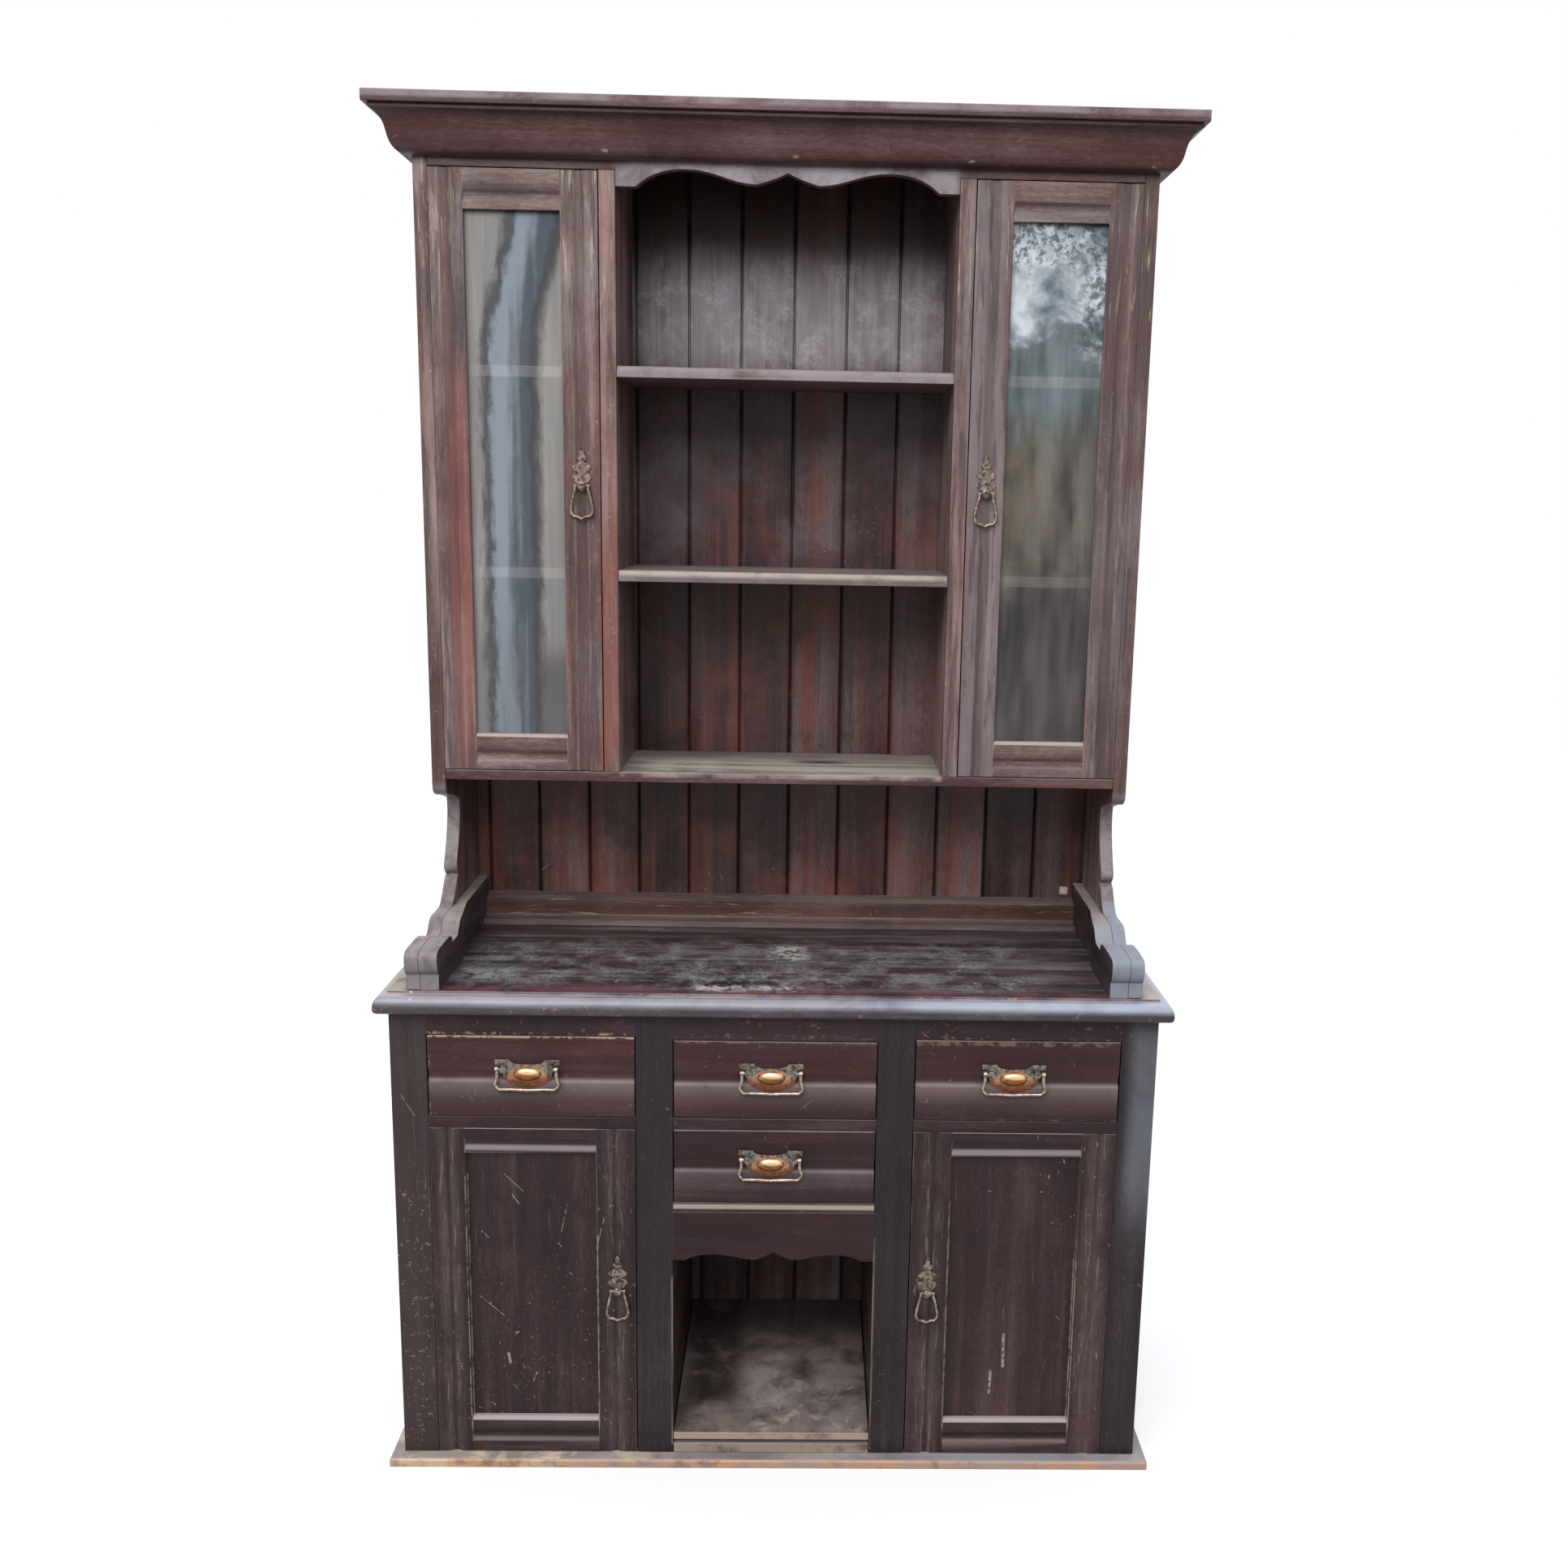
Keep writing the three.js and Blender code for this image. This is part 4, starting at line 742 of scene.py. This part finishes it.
top_marks = [
    tinted((74, 48, 50), 0.5, 0.66, 9, 97, 0.6, "up", y=TOP_DEPTH),
    tinted((92, 84, 74), 0.46, 0.66, 10, 29, 0.45, "up", y=(-0.19, 0.1)),
    tinted((132, 126, 126), 0.46, 0.62, 50, 30, 0.55, "up", along=X, broken=0.6, y=(-0.19, 0.17)),
    tinted((24, 17, 18), 0.46, 0.6, 26, 77, 0.65, "up", along=X, y=TOP_DEPTH),
    tinted(
        (148, 146, 146), 0.42, 0.66, 20, 33, 0.65, "up", broken=0.9, y=(-0.18, 0.08), x=TOP_MIDDLE, soft=0.04,
    ),
    tinted(
        (168, 165, 160), 0.58, 0.7, 26, 98, 0.7, "up", broken=0.8, y=(-0.19, 0.02), x=TOP_MIDDLE, soft=0.03,
    ),
    tinted(
        (156, 164, 168), 0.36, 0.6, 34, 28, 0.8, "up", broken=0.7,
        y=(-0.15, -0.08), x=(-0.52, -0.42), soft=0.02,
    ),
    tinted(
        (150, 148, 146), 0.4, 0.62, 34, 40, 0.7, "up", broken=0.7,
        y=(-0.15, -0.11), x=(0.19, 0.26), soft=0.02,
    ),
    tinted(
        (190, 185, 178), 0.42, 0.56, 70, 34, 0.95, "up", broken=0.5,
        x=(-0.012, 0.045), y=(-0.03, 0.05), soft=0.016,
    ),
    tinted((196, 190, 184), 0.44, 0.56, 50, 27, 0.95, "up", broken=0.4, x=(-0.13, 0.04), y=(-0.195, -0.165)),
    tinted(
        (168, 164, 154), 0.52, 0.66, 44, 133, 0.6, "up", broken=0.6,
        x=(-0.16, 0.12), y=(-0.19, -0.08), soft=0.04,
    ),
    tinted((124, 76, 79), 0.35, 0.6, 9, 35, 0.55, "up", y=(Y_NOSE + 0.018, Y_NOSE + 0.05)),
    tinted((156, 148, 126), 0.3, 0.5, 12, 36, 0.85, "up", x=(-0.64, -0.572)),
    tinted((172, 166, 158), 0.3, 0.5, 12, 37, 0.85, "up", x=(0.575, 0.64)),
    scratched((224, 216, 224), [((-0.562, 0.806), (-0.56, 0.799), 0.003)]),
]
bracket_sheen_and_wear = [
    # painted sheen of sky light: grey on the brackets' side faces, blue-grey at the right end; also darker
    # patches and worn flecks
    tinted(SKY_SHEEN_GREY, 0.2, 0.5, 18, 41, 0.8, "edge", z=BRACKET),
    tinted((104, 88, 84), 0.46, 0.6, 24, 99, 0.75, "edge", z=BRACKET),
    tinted((164, 148, 132), 0.6, 0.7, 60, 100, 0.7, "edge", z=BRACKET),
    tinted((134, 142, 154), 0.2, 0.5, 18, 56, 0.8, "edge", x=(0.5, 0.6), z=(Z_TOP - 0.01, Z_TOP + 0.09)),
]
rail_edge = tinted((160, 148, 138), 0.25, 0.6, 24, 134, 0.8, "raised", y=(-0.06, 0.25), soft=0.04)
hutch_wear = [
    tinted((186, 172, 146), 0.56, 0.66, 230, 57, 0.65, along=Z, z=(1.85, 2.06)),
    tinted((166, 146, 128), 0.62, 0.7, 230, 58, 0.5, along=Z),
    tinted((176, 150, 128), 0.66, 0.7, 110, 59, 0.7),
    tinted((136, 124, 128), 0.3, 0.6, 40, 90, 0.6, along=Z, x=(0.28, 0.345)),
    tinted((92, 76, 79), 0.35, 0.6, 40, 91, 0.6, along=Z, x=(0.5, 0.552)),
    tinted((70, 56, 60), 0.5, 0.6, 90, 92, 0.6, along=Z),
]
upstand_wear = [
    tinted((124, 112, 104), 0.4, 0.62, 20, 60, 0.5, "raised", along=X),
    tinted((150, 136, 116), 0.6, 0.68, 160, 61, 0.6, faces=None, along=X),
]
NAILS = ((-0.279, 2.071), (0.008, 2.069), (0.275, 2.068), (0.554, 2.067))
nail_marks = scratched((176, 158, 150), [((x, z), (x + 0.006, z), 0.003) for x, z in NAILS])

reddened = [
    tinted(
        (152, 88, 76), 0.4, 0.62, 20, 140, 0.5, along=Z,
        x=(-0.53, -0.498), z=BAY_EDGE, soft=0.05, soft_x=0.006,
    ),
    tinted(
        (152, 94, 74), 0.42, 0.62, 30, 141, 0.5, along=Z,
        x=(-0.292, -0.262), z=BAY_EDGE, soft=0.05, soft_x=0.004,
    ),
    tinted((190, 160, 132), 0.62, 0.7, 130, 142, 0.7, x=(-0.3, -0.26), z=(1.3, 1.75), soft=0.05),
]
FLUTES = (-0.5237, -0.32, 0.32, 0.5237)  # x of the middle of each
# painted shade in the hollows of the flutes
flute_shade = [
    tinted((78, 60, 58), 0.2, 0.55, 40, 110 + i, 0.5, along=Z, x=(x - 0.008, x + 0.008), soft=0.003)
    for i, x in enumerate(FLUTES)
]
FLUTE_EDGES = (-0.5345, -0.5125, -0.331, -0.309, 0.309, 0.331, 0.5125, 0.5345)
# painted highlights along the edges of the flutes
flute_highlights = [
    tinted((156, 140, 126), 0.48, 0.68, 60, 120 + i, 0.45, along=Z, x=(x - 0.0012, x + 0.0012), soft=0.0014)
    for i, x in enumerate(FLUTE_EDGES)
]
# painted highlight on the ledge under each pane
sill_highlight = tinted(
    (172, 154, 146), 0.2, 0.45, 20, 130, 0.85, "front_edge", z=(Z_PANE - 0.0055, Z_PANE - 0.0005), soft=0.001,
)
rail_shade = tinted((58, 42, 44), 0.1, 0.4, 12, 131, 0.65, "under")

stile_marks = [
    # painted reflection of the sky: the right outer stile bluish grey in its upper part
    tinted((112, 114, 121), 0.1, 0.7, 5, 25, 0.72, x=(0.56, 0.62), z=(0.42, 0.8), soft=0.1, soft_x=0.015),
    tinted((68, 54, 51), 0.3, 0.55, 9, 62, 0.7, along=Z, x=LEFT_STILE),
    tinted(SPECK, 0.6, 0.67, 140, 63, 0.85, x=LEFT_STILE, z=(0.03, 0.5), soft=0.05),
    tinted(SPECK, 0.6, 0.7, 240, 64, 0.7, along=Z, x=(-0.56, -0.535), z=(0.05, 0.56)),
    scratched(
        (120, 108, 104),
        [((-0.588, 0.64), (-0.565, 0.6), 0.0015), ((-0.525, 0.607), (-0.518, 0.58), 0.0012)],
    ),
    tinted(
        (150, 134, 118), 0.36, 0.56, 50, 156, 0.8, along=Z,
        x=(-X_NICHE - 0.0042, -X_NICHE - 0.0005), z=(0.03, 0.33), soft=0.0012,
    ),
    tinted(
        (140, 124, 110), 0.42, 0.6, 50, 157, 0.7, along=Z,
        x=(X_NICHE + 0.0005, X_NICHE + 0.0042), z=(0.03, 0.4), soft=0.0012,
    ),
    tinted((104, 92, 88), 0.62, 0.72, 160, 158, 0.4, along=Z, x=(-0.62, -0.53)),
]
bare_edge = tinted(
    (174, 156, 142), 0.18, 0.42, 18, 45, 0.95, z=(Z_BARE - 0.003, Z_BARE + 0.005), soft=0.002,
)
rail_marks = [
    tinted((54, 24, 23), 0.3, 0.6, 9, 165, 0.55, along=X, z=(0.3, 0.47)),
    tinted(
        (176, 150, 120), 0.5, 0.6, 70, 153, 0.75,
        x=(-0.545, -0.22), z=(Z_RAIL + 0.001, Z_RAIL + 0.006), soft=0.0025,
    ),
    tinted((138, 112, 100), 0.6, 0.7, 60, 154, 0.45, z=(Z_RAIL + 0.002, Z_RAIL + 0.03), soft=0.006),
    tinted(
        (138, 112, 100), 0.52, 0.64, 60, 155, 0.6,
        x=RIGHT_DRAWERS, z=(Z_RAIL + 0.001, Z_RAIL + 0.005), soft=0.0025,
    ),
]
niche_marks = [
    tinted((140, 125, 119), 0.34, 0.62, 12, 66, 0.75, "up", y=(-0.25, 0.1), soft=0.05),
    tinted((176, 160, 150), 0.5, 0.66, 30, 163, 0.7, "up", x=(-0.03, 0.16), y=(-0.22, -0.04), soft=0.03),
    tinted((158, 150, 146), 0.34, 0.6, 26, 67, 0.75, "up", x=(-0.05, 0.03), y=(-0.14, 0.03), soft=0.025),
    tinted((150, 140, 134), 0.34, 0.6, 26, 68, 0.6, "up", x=(0.07, 0.13), y=(-0.2, 0.02), soft=0.02),
    tinted((34, 25, 24), 0.3, 0.5, 16, 69, 0.7, "up", x=(-0.15, -0.06), y=(-0.12, 0.25), soft=0.02),
    tinted((172, 148, 132), 0.25, 0.5, 16, 43, 0.95),
]
# painted light on the rails' faces that tilt up, painted shade on those that look down, and the ledge's
# painted highlight
door_rail_light_and_shade = [
    tinted((132, 121, 121), 0.1, 0.42, 14, 150, 0.85, "lit", z=(0.3, 0.6)),
    tinted((104, 90, 88), 0.1, 0.42, 14, 151, 0.7, "lit", z=(0.0, 0.07)),
    tinted((20, 12, 13), 0.1, 0.42, 14, 152, 0.6, "under"),
    ledge_highlight,
]
plinth_marks = [
    tinted((180, 154, 142), 0.26, 0.46, 11, 46, 0.9),
    tinted((218, 188, 150), 0.36, 0.56, 14, 160, 0.8, x=(-0.7, -0.35), soft_x=0.1),
    # painted reflection of the sky: bluish grey on the right part of the top
    tinted((152, 150, 156), 0.3, 0.6, 9, 161, 0.55, "up", x=(0.1, 0.7), soft_x=0.1),
    # painted highlight: cream on the left part of the top
    tinted((212, 190, 160), 0.46, 0.62, 16, 162, 0.7, "up", x=(-0.7, -0.2), soft_x=0.1),
    tinted((198, 152, 116), 0.45, 0.6, 16, 70, 0.8),
    tinted((104, 84, 74), 0.52, 0.64, 14, 76, 0.6),
]
back_marks = [
    tinted((132, 74, 58), 0.46, 0.76, 5.5, 93, 0.45, z=BACK_RED, soft=0.1),
    tinted((124, 70, 58), 0.5, 0.7, 30, 132, 0.38, along=Z, z=BACK_RED, soft=0.1),
    tinted((104, 98, 106), 0.42, 0.68, 6, 94, 0.55, z=(1.45, 1.76), soft=0.06),
    tinted((34, 24, 24), 0.5, 0.68, 7, 95, 0.5, z=BACK_DULL, soft=0.06),
    # painted sheen of the sky on the boards of the top bay, in the next three marks
    tinted((138, 131, 135), 0.26, 0.5, 9, 73, 0.8, x=BAY, z=SHEEN, soft=0.05),
    tinted((160, 156, 161), 0.36, 0.66, 100, 48, 0.5, along=Z, x=BAY, z=SHEEN, soft=0.05),
    tinted((172, 168, 174), 0.46, 0.66, 22, 78, 0.75, broken=0.8, x=BAY, z=SHEEN, soft=0.05),
    tinted((176, 160, 148), 0.7, 0.74, 110, 96, 0.7, z=BACK_DULL, soft=0.05),
    # painted shadow under the frieze at the top of the bay
    tinted((26, 19, 19), 0, 0.1, 9, 74, 0.5, x=BAY, z=(1.98, 2.2), soft=0.04),
    tinted((196, 182, 170), 0, 0.1, 9, 49, 0.9, x=(0.508, 0.522), z=(0.863, 0.877), soft=0.002),
]
shelf_marks = [
    tinted((152, 140, 142), 0.25, 0.55, 10, 50, 0.8),
    tinted((104, 90, 88), 0.25, 0.5, 10, 102, 0.8, z=Z_SHELF, soft=0.001),
    tinted((178, 161, 144), 0.3, 0.52, 18, 103, 0.85, "front_edge", broken=0.35, z=Z_SHELF_EDGE, soft=0.0025),
]
hutch_floor_marks = [
    # painted highlight on the floor's front edge in the bay
    tinted((176, 162, 154), 0.3, 0.6, 14, 51, 0.7, x=BAY, z=(Z_HUTCH + 0.009, Z_HUTCH + 0.03), soft=0.003),
    tinted((182, 172, 164), 0.3, 0.5, 20, 75, 0.8, "up", x=(-0.22, -0.1), y=(-0.02, 0.12), soft=0.03),
    tinted((186, 178, 168), 0.46, 0.6, 26, 104, 0.7, "up", along=X, x=BAY, y=(-0.05, 0.14), soft=0.02),
    tinted((92, 80, 76), 0.5, 0.62, 34, 105, 0.6, "up", along=X, x=BAY),
    tinted((44, 36, 36), 0, 0.1, 9, 106, 0.85, "up", x=(0.03, 0.105), y=(0.1, 0.13), soft=0.016, soft_x=0.03),
]

woods = {
    "stile": wood(
        "base_stile", STILE, Z, wear=0.5, scratch=0.6, redness=0.15, coolness=0.5, marks=stile_marks,
    ),
    "rail": wood("base_rail", BASE, X, wear=0.5, scratch=0.4, redness=0.6, marks=rail_marks),
    "base_in": wood("base_inside", INNER, Y, wear=0.2, scratch=0.3, dust=0.5),
    "base_floor": wood(
        "base_floor", INNER, X, wear=0.2, scratch=0.3, dust=0.5,
        marks=[tinted((162, 143, 129), 0.25, 0.5, 14, 65, 0.85)],
    ),
    "niche_floor": wood(
        "niche_boards", NICHE, Y, wear=0.3, scratch=0.5, dust=0.15, dust_colour=(112, 102, 100), sheen_and_dust=0.1,
        marks=niche_marks,
    ),
    "base_back": wood("base_back", LIGHTENED_FOR_SHADE, Z, wear=0.1, scratch=0.2, boards=(PITCH, BASE_JOINT)),
    "base_side": wood("base_side", BASE, Z, wear=0.5, scratch=0.6),
    "door": wood(
        "base_door_upright", BASE, Z, wear=0.8, scratch=0.8, redness=0.2, coolness=0.4,
        marks=door_flutes + door_marks + panel_edges,
    ),
    "door_rail": wood(
        "base_door_rail", BASE, X, wear=0.8, scratch=0.5, sheen_and_dust=1.0, sheen_and_dust_colour=(156, 146, 148),
        marks=door_rail_light_and_shade,
    ),
    "drawer": wood(
        "drawer_front", BASE, X, wear=0.7, scratch=0.5, redness=0.7, sheen_and_dust=1.0, sheen_and_dust_colour=(142, 132, 134),
        marks=worn_lines_and_highlight,
    ),
    "bearer": wood("bearer", BASE, X, wear=0.6, scratch=0.4, redness=0.4),
    "bare_bearer": wood("worn_bearer", BASE, X, wear=0.6, scratch=0.4, marks=[bare_edge]),
    "plinth": wood(
        "plinth", BASE, X, wear=1.0, dust=0.95, dust_colour=(160, 148, 140), wear_colour=(196, 162, 134),
        marks=plinth_marks,
    ),
    "top": wood(
        "top", TOP, X, wear=0.4, scratch=0.6, rough=0.32, gloss=0.4, redness=0.5, coolness=0.4, sheen_and_dust=0.0,
        marks=top_marks + nose_sheen_and_wear,
    ),
    "gallery": wood(
        "gallery", TOP, Y, wear=0.5, scratch=0.3, redness=0.5, sheen_and_dust=0.35, marks=bracket_sheen_and_wear + [rail_edge],
    ),
    "upstand": wood("upstand", UPSTAND, X, wear=0.5, scratch=0.3, redness=0.8, sheen_and_dust=0.2, marks=upstand_wear),
    "hutch_side": wood(
        "hutch_side", HUTCH, Z, wear=0.7, scratch=0.5, redness=0.6, coolness=0.7, figure=1.3, pore=0.14,
        marks=hutch_wear + bracket_sheen_and_wear,
    ),
    "hutch_up": wood(
        "hutch_upright", HUTCH, Z, wear=0.7, scratch=0.5, redness=0.65, coolness=0.75, figure=1.3, pore=0.14,
        marks=hutch_wear + flute_shade + flute_highlights + reddened,
    ),
    "hutch_rail": wood(
        "hutch_rail", HUTCH, X, wear=0.6, scratch=0.4, redness=0.4, coolness=0.6, sheen_and_dust=0.65,
        sheen_and_dust_colour=(146, 131, 131), marks=[rail_shade, sill_highlight],
    ),
    "frieze": wood(
        "frieze", HUTCH, X, wear=0.6, scratch=0.4,
        # painted sheen of sky light on the frieze over the bay
        marks=[tinted((164, 157, 164), 0.3, 0.6, 12, 47, 0.85, x=BAY, z=(1.9, 2.07))],
    ),
    "cornice": wood(
        "cornice", CORNICE, X, wear=0.5, scratch=0.3, redness=0.6, coolness=0.4, sheen_and_dust=0.3, marks=[nail_marks],
    ),
    "cornice_board": wood(
        "cornice_board", CORNICE, X, wear=0.8, wear_colour=(178, 164, 160), scratch=0.3, sheen_and_dust=0.8,
        # painted light along the board's top edge
        marks=[tinted((150, 136, 138), 0.3, 0.6, 10, 71, 0.75, z=(2.132, 2.15), soft=0.003)],
    ),
    "hutch_back": wood(
        "hutch_back", BACK, Z, wear=0.1, scratch=0.4, boards=(PITCH, HUTCH_JOINT), redness=0.8, rough=0.34,
        marks=back_marks,
    ),
    "shelf": wood("hutch_shelf", HUTCH, X, wear=0.6, scratch=0.4, dust=0.7, marks=shelf_marks),
    "hutch_floor": wood(
        "hutch_floor", CORNICE, X, wear=0.6, scratch=0.4, dust=0.85, dust_colour=(150, 140, 132),
        marks=hutch_floor_marks,
    ),
    "cabinet_shelf": wood(
        "cabinet_shelf", HUTCH, X, wear=0.6, scratch=0.4, dust=0.7,
        # near-white front edges: painted light, so that the shelves show through the glass
        marks=[tinted((216, 203, 200), 0.1, 0.3, 10, 50, 0.9)],
    ),
    "lining": bare_wood("drawer_lining", (176, 142, 104), (128, 96, 66), Y),
}
brass = old_metal("aged_brass", (64, 54, 50), (162, 142, 130))
pull_metal = old_metal("pull_copper", (70, 68, 64), (156, 146, 138), pull=True)
bail_metal = old_metal("bail_brass", (136, 116, 102), (196, 176, 162), rough=0.34)
loop_metal = old_metal("loop_brass", (98, 84, 76), (184, 162, 148), rough=0.34)
# The painted reflection on each pane, and how much of it hides the inside
PANE_LOOKS = {"left": (streaked, 0.66), "right": (dappled, 0.68)}

SIDES = ("_left", "_right")
LOOKS = {}
for stem, ends, look in (
    ("plinth", ("",), "plinth"),
    ("base_side", SIDES, "base_side"),
    ("base_floor", ("",), "base_floor"),
    ("base_divider", SIDES, "base_in"),
    ("base_face_frame", ("",), "stile"),
    ("drawer_bearer", (*SIDES, "_centre_upper"), "bearer"),
    ("drawer_bearer_centre_lower", ("",), "bare_bearer"),
    ("niche_floor", ("",), "niche_floor"),
    ("base_back_boards", ("",), "base_back"),
    ("dresser_top", ("",), "top"),
    ("gallery", ("",), "gallery"),
    ("hutch_side", SIDES, "hutch_side"),
    ("hutch_divider", SIDES, "hutch_up"),
    ("hutch_floor", ("",), "hutch_floor"),
    ("frieze", ("",), "frieze"),
    ("cornice_moulding", ("",), "cornice"),
    ("cornice_board", ("",), "cornice_board"),
    ("hutch_back_boards", ("",), "hutch_back"),
    ("centre_shelf", ("_lower", "_upper"), "shelf"),
    ("cabinet_shelf_lower", SIDES, "cabinet_shelf"),
    ("cabinet_shelf_upper", SIDES, "cabinet_shelf"),
):
    for end in ends:
        LOOKS[stem + end] = look
for end in SIDES:
    LOOKS["base_door" + end] = "door"
    LOOKS["hutch_door_frame" + end] = "hutch_up"
for end in (*SIDES, "_centre_upper", "_centre_lower"):
    LOOKS["drawer_front" + end] = "drawer"
    LOOKS["drawer_box" + end] = "lining"


def frame_rails():
    """The top rail and the apron lie between the stiles of the base's face frame."""
    edges = (X_STILE, X_MIDDLE, X_NICHE)
    cuts = [(X, sign * value) for value in edges for sign in (-1, 1)]

    def where(centre):
        reach = abs(centre.x)
        return reach < X_NICHE or X_MIDDLE < reach < X_STILE

    return {"cuts": cuts, "where": where, "material": woods["rail"]}


def door_rails(node, widths, material):
    """The rails of a door lie between its hanging stile and its latch stile."""
    low, high = span(node, X)
    (outside, inside), rail_heights = widths
    left, right = (low + outside, high - inside) if low < 0 else (low + inside, high - outside)
    bottom, top = span(node, Z)
    under, over = bottom + rail_heights[0], top - rail_heights[1]

    def where(centre):
        return left < centre.x < right and not under < centre.z < over

    return {"cuts": [(X, left), (X, right)], "where": where, "material": material}


def gallery_upstand():
    """The upstand lies between the two gallery rails."""
    reach = X_RAIL - UPSTAND_INSET
    return {"cuts": [], "where": lambda centre: abs(centre.x) < reach, "material": woods["upstand"]}


CAST = dict(width=0.0004, angle=38.0)
ROD = dict(width=0.0, angle=50.0)

for node, look in LOOKS.items():
    rails = None
    if node == "base_face_frame":
        rails = frame_rails()
    elif node == "gallery":
        rails = gallery_upstand()
    elif node.startswith("base_door"):
        rails = door_rails(node, BASE_DOOR, woods["door_rail"])
    elif node.startswith("hutch_door"):
        rails = door_rails(node, HUTCH_DOOR, woods["hutch_rail"])
    dress(node, woods[look], rails=rails)
for node in NODES:
    if node.startswith("drawer_pull_plate"):
        dress(node, pull_metal, **CAST)
    elif node.startswith("drawer_pull_bail"):
        dress(node, bail_metal, **ROD)
    elif "drop_plate" in node:
        dress(node, brass, **CAST)
    elif "drop_loop" in node:
        dress(node, loop_metal, **ROD)
    elif "pane" in node:
        side = node.rsplit("_", 1)[1]
        low, high = PANE[side]
        picture, amount = PANE_LOOKS[side]
        depth = sum(span(node, Y)) / 2
        glass = old_glass("glass_" + side, picture, (low + high) / 2, (high - low) / 2, depth, amount)
        dress(node, glass, width=0.0)


# Floor, light and camera


WHITE = (1.0, 1.0, 1.0, 1.0)
SKY_STRENGTH = 1.35
# The sky's colour from straight down at 0 over the horizon at 0.5 to straight up at 1
SKY_STOPS = [
    (0.46, (0.05, 0.045, 0.04, 1.0)),
    (0.5, (0.16, 0.16, 0.16, 1.0)),
    (0.56, (0.4, 0.42, 0.44, 1.0)),
    (0.66, (0.8, 0.84, 0.9, 1.0)),
    (1.0, (1.0, 1.03, 1.1, 1.0)),
]
PAVING = (0.13, 0.12, 0.11, 1.0)
FLOOR_RADIUS = 9.0
FLOOR_Z = -0.0002  # just under the plinth


def shows_background(net):
    """1 for the rays that show the background: the camera's, and those of gloss and glass."""
    rays = net.node("ShaderNodeLightPath").outputs
    return most(net, [rays[kind] for kind in ("Is Camera Ray", "Is Glossy Ray", "Is Transmission Ray")])


def floor():
    """A white floor that keeps the shadow; to the light that it throws back it is dark paving."""
    bpy.ops.mesh.primitive_circle_add(
        vertices=96, radius=FLOOR_RADIUS, fill_type="NGON", location=(0, 0, FLOOR_Z)
    )
    made = bpy.context.object
    made.name = "floor"
    net = Net("floor")
    matt = net.filled("ShaderNodeBsdfDiffuse", (0.9, 0.9, 0.9, 1.0))
    white = net.filled("ShaderNodeMixShader", 0.6, matt, net.filled("ShaderNodeEmission", WHITE))
    paving = net.filled("ShaderNodeBsdfDiffuse", PAVING)
    net.finish(net.filled("ShaderNodeMixShader", shows_background(net), paving, white))
    made.data.materials.append(net.owner)


def world():
    """A white background; the light comes from a bright sky over a dim horizon."""
    net = Net("studio", world=True)
    bpy.context.scene.world = net.owner
    up = net.split(net.node("ShaderNodeTexCoord").outputs["Generated"])[Z]
    sky = net.ramp(net.math("MULTIPLY_ADD", up, 0.5, 0.5), SKY_STOPS)
    dome = net.filled("ShaderNodeBackground", sky, SKY_STRENGTH)
    white = net.filled("ShaderNodeBackground", WHITE)
    net.finish(net.filled("ShaderNodeMixShader", shows_background(net), dome, white))


def lamp(name, location, target, size, power, colour):
    data = bpy.data.lights.new(name, "AREA")
    data.shape = "RECTANGLE"
    data.size, data.size_y = size
    data.energy = power
    data.color = colour
    made = bpy.data.objects.new(name, data)
    bpy.context.scene.collection.objects.link(made)
    made.location = location
    made.rotation_euler = (Vector(target) - Vector(location)).to_track_quat("-Z", "Y").to_euler()


def camera():
    """The photograph's camera, solved from the straight edges of the object."""
    side, sensor = 1932, 36.0  # of the picture in pixels, of the sensor in mm
    focal, centre = 1820.0, (1035.0, 966.0)  # in pixels of the photograph
    yaw, pitch, roll = 0.023656, 0.18595, -0.019562
    place = (0.04069, -2.3967, 1.5531)
    ahead = Vector((math.sin(yaw) * math.cos(pitch), math.cos(yaw) * math.cos(pitch), -math.sin(pitch)))
    level = Vector((math.cos(yaw), -math.sin(yaw), 0.0))
    down = ahead.cross(level)
    right = math.cos(roll) * level + math.sin(roll) * down
    low = -math.sin(roll) * level + math.cos(roll) * down
    data = bpy.data.cameras.new("camera")
    data.sensor_width = sensor
    data.lens = focal / side * sensor
    data.shift_x = (side / 2 - centre[0]) / side
    data.shift_y = (centre[1] - side / 2) / side
    data.clip_start, data.clip_end = 0.1, 100.0
    made = bpy.data.objects.new("camera", data)
    bpy.context.scene.collection.objects.link(made)
    turn = Matrix((right, -low, -ahead)).transposed().to_4x4()
    made.matrix_world = Matrix.Translation(place) @ turn
    bpy.context.scene.camera = made


floor()
world()
lamp("key", (-1.2, -4.2, 4.4), target=(0, 0, 1.1), size=(4.0, 2.5), power=190, colour=(1.0, 0.99, 0.98))
camera()
bpy.context.scene.view_settings.view_transform = "Standard"
